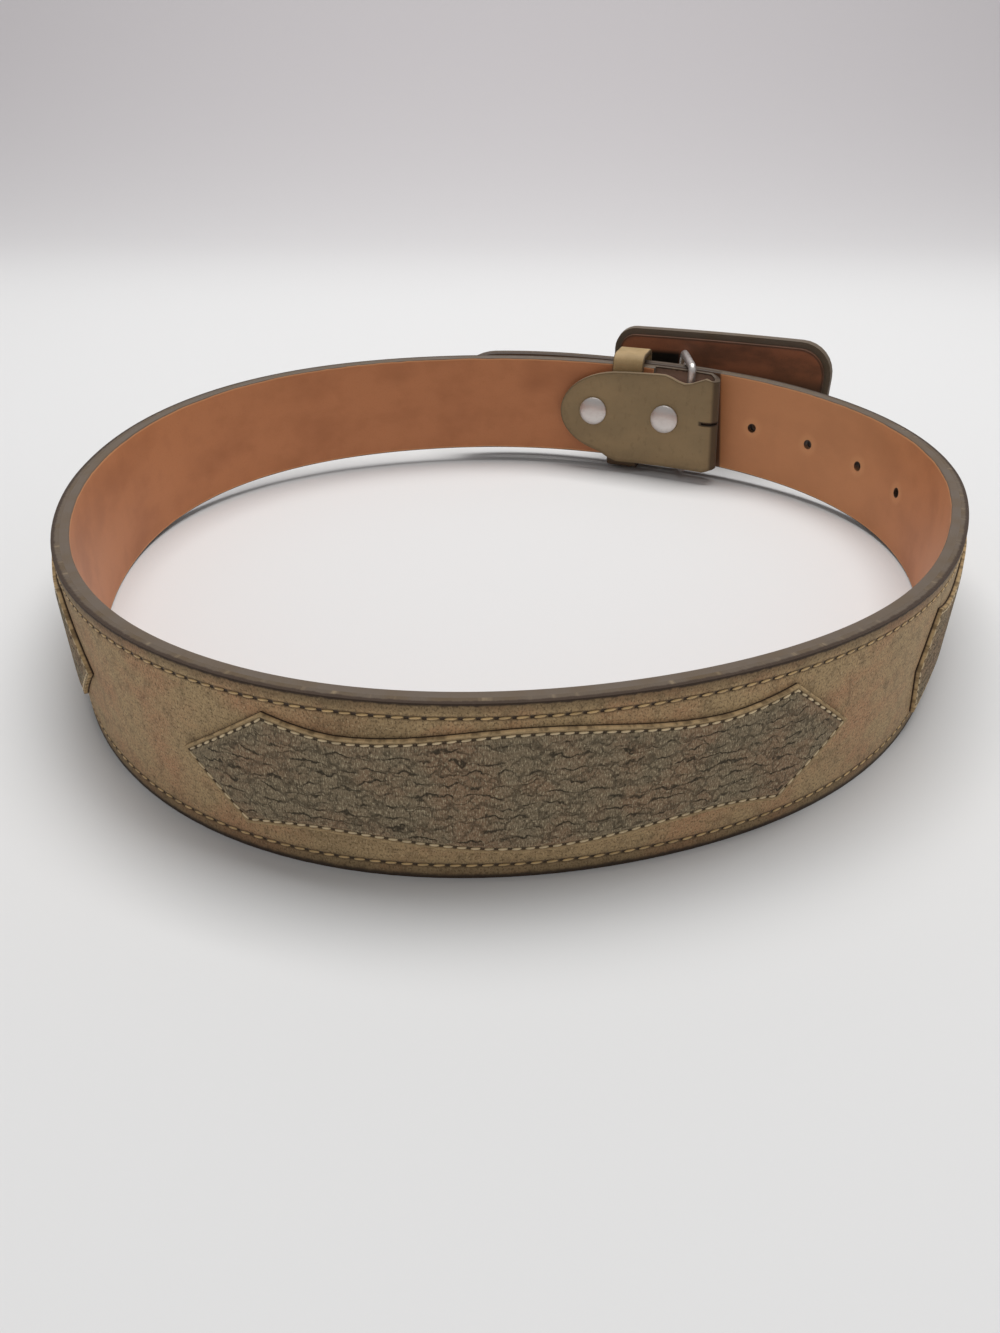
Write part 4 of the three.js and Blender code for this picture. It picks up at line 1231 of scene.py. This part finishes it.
class BELT_OT_overlays(bpy.types.Operator):
    """Cuts the four scalloped overlays, sews them and bends them along the ring"""

    bl_idname = "belt.overlays"
    bl_label = "Overlays"

    def execute(self, context):
        leather = shrunken_grain()
        thread = waxed_thread("cream waxed thread", "overlay_thread")
        margin = sizes().overlay_margin
        for name, (middle, half, *_) in OVERLAYS.items():
            outline = overlay_outline(name)
            reach = half - 3.2 * MM
            cuts = even(middle - reach, middle + reach, step=4 * MM)
            piece = cut_out(name + "_leather", outline, OVERLAY_INSETS, cuts)
            thicken(piece, OVERLAY_THICKNESS, -SINK)
            top = OVERLAY_THICKNESS - SINK
            round_rim(piece, top / 2, 1, OVERLAY_EDGE, segments=2)
            seam = inset_line(outline, margin)
            places = places_of(piece)
            distance, _ = distance_to(places[:, :2], outline, True)
            raised = OVERLAY_PUFF * smooth_step(distance, margin, margin * 3)
            places[:, 2] += np.where(places[:, 2] > top / 2, raised, 0)
            put(piece, places)
            press_seam(piece, seam, True, top, OVERLAY_SEAM_WIDTH)
            mark_leather(piece, outline, top, seam, True, sizes().overlay_stitch)
            stand_and_bend(piece, bend_path("ring_path"), lift_at)
            dress(piece, leather)
            finish_piece(piece, name)
            sew(
                name + "_stitches",
                seam,
                closed=True,
                pitch=sizes().overlay_stitch,
                top=top,
                path=bend_path("ring_path"),
                lift=lift_at,
                material=thread,
            )
        return {"FINISHED"}


def place_piece(piece, x_way, y_way, place):
    """Turns a piece so that its x and y lie along two directions, moves it to a place and applies that."""
    x, y = Vector(x_way).normalized(), Vector(y_way).normalized()
    turn = Matrix((x, y, x.cross(y))).transposed().to_4x4()
    only(piece)
    piece.matrix_world = Matrix.Translation(Vector(place)) @ turn
    bpy.ops.object.transform_apply(location=True, rotation=True, scale=True)


class BELT_OT_keeper(bpy.types.Operator):
    """Cuts the keeper's strip and bends it into its loop round the tip"""

    bl_idname = "belt.keeper"
    bl_label = "Keeper"

    def execute(self, context):
        angle = np.interp(KEEPER_RUN, RUNS, ANGLES)
        along = along_at(KEEPER_RUN)
        inward = np.array((-along[1], along[0]))
        tip_place = plan_at(np.interp(angle + 360, ANGLES, RUNS))
        tip = float((tip_place - plan_at(KEEPER_RUN)) @ inward)
        half = KEEPER_THICKNESS / 2
        loop = rounded_rectangle(
            tip - KEEPER_SLACK - half,
            STRAP - SINK + half,
            -KEEPER_BELOW + half,
            NARROW + KEEPER_ABOVE - half,
            KEEPER_CORNER,
        )
        loop = fill_sides(loop, step=1.5 * MM)
        length = lengths_along(np.vstack((loop, loop[:1])))[-1]
        strip = np.array(((0, -0.5), (1, -0.5), (1, 0.5), (0, 0.5))) * (length, KEEPER_WIDTH)
        outline = fill_sides(strip, step=2 * MM)
        cuts = even(1 * MM, length - 1 * MM, step=1 * MM)
        piece = cut_out("keeper_leather", outline, KEEPER_INSETS, cuts)
        thicken(piece, KEEPER_THICKNESS, -half)
        round_rim(piece, 0, 1, KEEPER_OUTER_EDGE)
        round_rim(piece, 0, -1, KEEPER_INNER_EDGE, segments=2)
        mark_leather(piece, outline, half)
        path = path_object("keeper_path", loop, True)
        stand_and_bend(piece, path, no_lift)
        remove(path)
        place = plan_at(KEEPER_RUN)
        lift = float(lift_at(KEEPER_RUN))
        place_piece(piece, (inward[0], inward[1], 0), (0, 0, 1), (place[0], place[1], lift))
        leather = plain_leather(
            "pale tan keeper leather",
            "keeper",
            "face",
            roughness=0.65,
            cloud=9,
            relief=0.08,
            painted_shade_below=FAR_SIDE_LIFT,
        )
        dress(piece, leather)
        finish_piece(piece, "keeper")
        return {"FINISHED"}


class BELT_OT_snaps(bpy.types.Operator):
    """Turns up the caps of the two press snaps and sets them through the tab"""

    bl_idname = "belt.snaps"
    bl_label = "Press snaps"

    def execute(self, context):
        metal = nickel_plate()
        for name, (run, height) in SNAPS.items():
            depth = float(tab_depth(run)) + FACE
            upright(SNAP_CAP / 2, SNAP_CLEARANCE, SNAP_CLEARANCE + SNAP_RIM, vertices=48)
            cap = named(name + "_cap")
            self.raise_crown(cap)
            for side in (1, -1):
                round_rim(cap, SNAP_CLEARANCE + SNAP_RIM / 2, side, SNAP_EDGE)
            bottom = -depth - GLUE_GAP
            post = upright(SNAP_POST / 2 - SNAP_CLEARANCE, bottom, SNAP_CLEARANCE)
            foot = upright(SNAP_FOOT / 2, bottom - SNAP_FOOT_HEIGHT, bottom)
            round_rim(foot, bottom - SNAP_FOOT_HEIGHT / 2, -1, SNAP_FOOT_EDGE)
            only(cap)
            for part in (post, foot):
                part.select_set(True)
            bpy.ops.object.join()
            slope = float(tab_depth(run + MM) - tab_depth(run - MM)) / (2 * MM)
            along = along_at(run)
            axis = Vector((-along[1], along[0], 0)) - slope * Vector((along[0], along[1], 0))
            place = plan_at(run, depth)
            side = Vector((0, 0, 1)).cross(axis)
            place_piece(cap, Vector((0, 0, 1)), -side, (place[0], place[1], float(lift_at(run)) + height))
            dress(cap, metal)
            finish_piece(cap, name, smooth=50)
        return {"FINISHED"}

    @staticmethod
    def raise_crown(cap):
        """Insets the top face again and again, each time a little higher, into a flat dome."""
        bpy.ops.object.mode_set(mode="EDIT")
        bpy.ops.mesh.select_mode(type="FACE")
        bpy.ops.mesh.select_all(action="DESELECT")
        bpy.ops.object.mode_set(mode="OBJECT")
        for face in cap.data.polygons:
            face.select = face.normal.z > 0.9
        bpy.ops.object.mode_set(mode="EDIT")
        radius, rise = SNAP_CAP / 2, SNAP_HEIGHT - SNAP_RIM
        last_radius, last_height = radius, 0.0
        for share in SNAP_CROWN:
            height = rise * (1 - share**SNAP_DOME)
            bpy.ops.mesh.inset(thickness=last_radius - radius * share, use_even_offset=True)
            bpy.ops.transform.translate(value=(0, 0, height - last_height))
            last_radius, last_height = radius * share, height
        bpy.ops.object.mode_set(mode="OBJECT")


def panel(name, inset, low, thickness, rims, insets):
    """A rounded panel that follows the plate, and its outline on the table."""
    half = PLATE_LENGTH / 2 - inset
    outline = rounded_rectangle(
        PLATE_REACH - half,
        PLATE_REACH + half,
        inset,
        PLATE_HEIGHT - inset,
        PLATE_FOLD_CORNER - inset,
        PLATE_TIP_CORNER - inset,
    )
    outline = fill_sides(outline, step=4 * MM)
    reach = half - 2 * MM
    cuts = even(PLATE_REACH - reach, PLATE_REACH + reach, step=4 * MM)
    piece = cut_out(name, outline, insets, cuts)
    thicken(piece, thickness, low)
    for side, width in rims:
        round_rim(piece, low + thickness / 2, side, width, segments=4)
    return piece, outline


class BELT_OT_plate(bpy.types.Operator):
    """Covers the buckle plate with leather, sews its border and sets the panel on its back"""

    bl_idname = "belt.plate"
    bl_label = "Buckle plate"

    def execute(self, context):
        low = -PLATE_THICKNESS / 2
        path = bend_path("plate_path")
        rims = ((1, PLATE_FRONT_EDGE), (-1, PLATE_BACK_EDGE))
        piece, outline = panel("buckle_plate_leather", 0, low, PLATE_THICKNESS, rims, PLATE_INSETS)
        seam = inset_line(outline, PLATE_BORDER)
        press_seam(piece, seam, True, -low, SEAM_WIDTH)
        mark_leather(piece, outline, -low, seam, True, sizes().overlay_stitch)
        stand_and_bend(piece, path, no_lift)
        leather = plain_leather(
            "olive plate leather", "plate", "face_dark", roughness=0.7, cloud=14, relief=0.1
        )
        dress(piece, leather)
        finish_piece(piece, "buckle_plate")
        sew(
            "buckle_plate_stitches",
            seam,
            closed=True,
            pitch=sizes().overlay_stitch,
            top=-low,
            path=path,
            lift=no_lift,
            material=waxed_thread("golden tan border thread", "edge_thread"),
        )
        back, back_outline = panel(
            "buckle_backing_leather",
            BACKING_INSET,
            low - BACKING_THICKNESS - GLUE_GAP,
            BACKING_THICKNESS + GLUE_GAP + SINK,
            ((-1, BACKING_EDGE),),
            BACKING_INSETS,
        )
        mark_leather(back, back_outline, low)
        stand_and_bend(back, path, no_lift)
        dress(back, backing_leather())
        finish_piece(back, "buckle_backing")
        return {"FINISHED"}


class BELT_OT_fittings(bpy.types.Operator):
    """Bends the bail from wire, and smooths the hidden hinge clip and stud"""

    bl_idname = "belt.fittings"
    bl_label = "Bail and hidden fittings"

    def execute(self, context):
        depth = FACE + BAIL_CLEARANCE + BAIL_WIRE / 2
        bar = plan_at(BAIL_RUN, depth)
        fitting_depth = GLUE_GAP + BACKING_THICKNESS + GLUE_GAP
        hinge = plate_plan(BRACKET_ALONG, -fitting_depth - BRACKET_OUTER)
        lift = float(lift_at(BAIL_RUN))
        margin = BAIL_CLEARANCE + BAIL_WIRE / 2
        loop = rounded_rectangle(
            0, float(np.linalg.norm(hinge - bar)), lift - margin, lift + NARROW + margin, BAIL_CORNER
        )
        path = path_object("bail", loop, True)
        path.data.bevel_depth = BAIL_WIRE / 2
        path.data.bevel_resolution = 5
        only(path)
        bpy.ops.object.convert(target="MESH")
        bail = named("bail_wire")
        across = Vector((*(hinge - bar), 0))
        place_piece(bail, across, (0, 0, 1), (bar[0], bar[1], 0))
        dress(bail, nickel_plate())
        finish_piece(bail, "bail", smooth=60)
        for node in ("bail_bracket", "buckle_hook"):
            self.smoothed_copy(node)
        return {"FINISHED"}

    @staticmethod
    def smoothed_copy(node):
        """A copy of a plain fitting with its edges broken and its round faces smooth."""
        only(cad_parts[node])
        bpy.ops.object.duplicate()
        piece = named(node + "_metal")
        for key in [key for key in piece.keys() if key.startswith("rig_")]:
            del piece[key]
        bpy.ops.object.mode_set(mode="EDIT")
        bpy.ops.mesh.select_all(action="SELECT")
        bpy.ops.mesh.remove_doubles(threshold=MM / 100)
        bpy.ops.mesh.tris_convert_to_quads()
        bpy.ops.object.mode_set(mode="OBJECT")
        sharp = math.radians(40)
        apply_modifier(
            piece, "BEVEL", width=FITTING_EDGE, segments=2, limit_method="ANGLE", angle_limit=sharp
        )
        dress(piece, nickel_plate())
        finish_piece(piece, node, smooth=40)


def add_lamp():
    data = bpy.data.lights.new("overhead", "AREA")
    data.shape = "RECTANGLE"
    data.size, data.size_y = LAMP_SIZE
    data.energy = LAMP_POWER
    data.color = LAMP_TONE
    lamp = bpy.data.objects.new("overhead", data)
    bpy.context.scene.collection.objects.link(lamp)
    lamp.location = LAMP_PLACE
    way = Vector(LAMP_TARGET) - Vector(LAMP_PLACE)
    lamp.rotation_euler = way.to_track_quat("-Z", "Y").to_euler()


class BELT_OT_stage(bpy.types.Operator):
    """Sets the pale floor and its backdrop, the soft studio light and the photograph's camera"""

    bl_idname = "belt.stage"
    bl_label = "Stage"

    def execute(self, context):
        bpy.ops.object.select_all(action="DESELECT")
        bpy.ops.mesh.primitive_grid_add(x_subdivisions=1, y_subdivisions=160, size=8)
        floor = named("floor")
        places = places_of(floor)
        past = np.maximum(0, places[:, 1] - BACKDROP_START)
        turn = np.minimum(past / BACKDROP_BEND, math.pi / 2)
        rest = past - turn * BACKDROP_BEND
        places[:, 1] = np.minimum(places[:, 1], BACKDROP_START) + BACKDROP_BEND * np.sin(turn)
        places[:, 2] = BACKDROP_BEND * (1 - np.cos(turn)) + rest
        put(floor, places)
        bpy.ops.object.shade_smooth()
        dress(floor, pale_floor())
        add_lamp()
        world = bpy.data.worlds.new("studio")
        world.use_nodes = True
        background = world.node_tree.nodes["Background"]
        background.inputs["Color"].default_value = WORLD_TONE
        background.inputs["Strength"].default_value = WORLD_STRENGTH
        context.scene.world = world
        context.scene.view_settings.view_transform = "Standard"
        data = bpy.data.cameras.new("camera")
        data.sensor_width = SENSOR
        data.lens = FOCAL_PIXELS / IMAGE_HEIGHT * SENSOR
        data.clip_start = 1 * MM
        camera = bpy.data.objects.new("camera", data)
        context.scene.collection.objects.link(camera)
        turn = Matrix.Rotation(math.pi / 2 - CAMERA_DOWN, 4, "X") @ Matrix.Rotation(CAMERA_ROLL, 4, "Z")
        camera.matrix_world = Matrix.Translation(CAMERA_PLACE) @ turn
        context.scene.camera = camera
        return {"FINISHED"}


class BELT_PT_panel(bpy.types.Panel):
    """Lists the belt's sizes, colours and pieces"""

    bl_label = "Western belt"
    bl_idname = "BELT_PT_panel"
    bl_space_type = "VIEW_3D"
    bl_region_type = "UI"
    bl_category = "Belt"

    def draw(self, context):
        for operator in OPERATORS:
            self.layout.operator(operator.bl_idname)
        for group in (context.scene.belt_sizes, context.scene.belt_finishes):
            column = self.layout.column(align=True)
            for name in group.__annotations__:
                column.prop(group, name)


OPERATORS = (
    BELT_OT_stage,
    BELT_OT_outer_leather,
    BELT_OT_lining,
    BELT_OT_edge_stitches,
    BELT_OT_overlays,
    BELT_OT_keeper,
    BELT_OT_snaps,
    BELT_OT_plate,
    BELT_OT_fittings,
)
CLASSES = (BeltSizes, BeltFinishes, *OPERATORS, BELT_PT_panel)


def register():
    for each in CLASSES:
        bpy.utils.register_class(each)
    bpy.types.Scene.belt_sizes = PointerProperty(type=BeltSizes)
    bpy.types.Scene.belt_finishes = PointerProperty(type=BeltFinishes)


def unregister():
    del bpy.types.Scene.belt_finishes
    del bpy.types.Scene.belt_sizes
    for each in reversed(CLASSES):
        bpy.utils.unregister_class(each)


def main():
    register()
    for operator in OPERATORS:
        group, call = operator.bl_idname.split(".")
        getattr(getattr(bpy.ops, group), call)()
    for name in BEND_LINES:
        remove(bend_path(name))


if __name__ == "__main__":
    main()
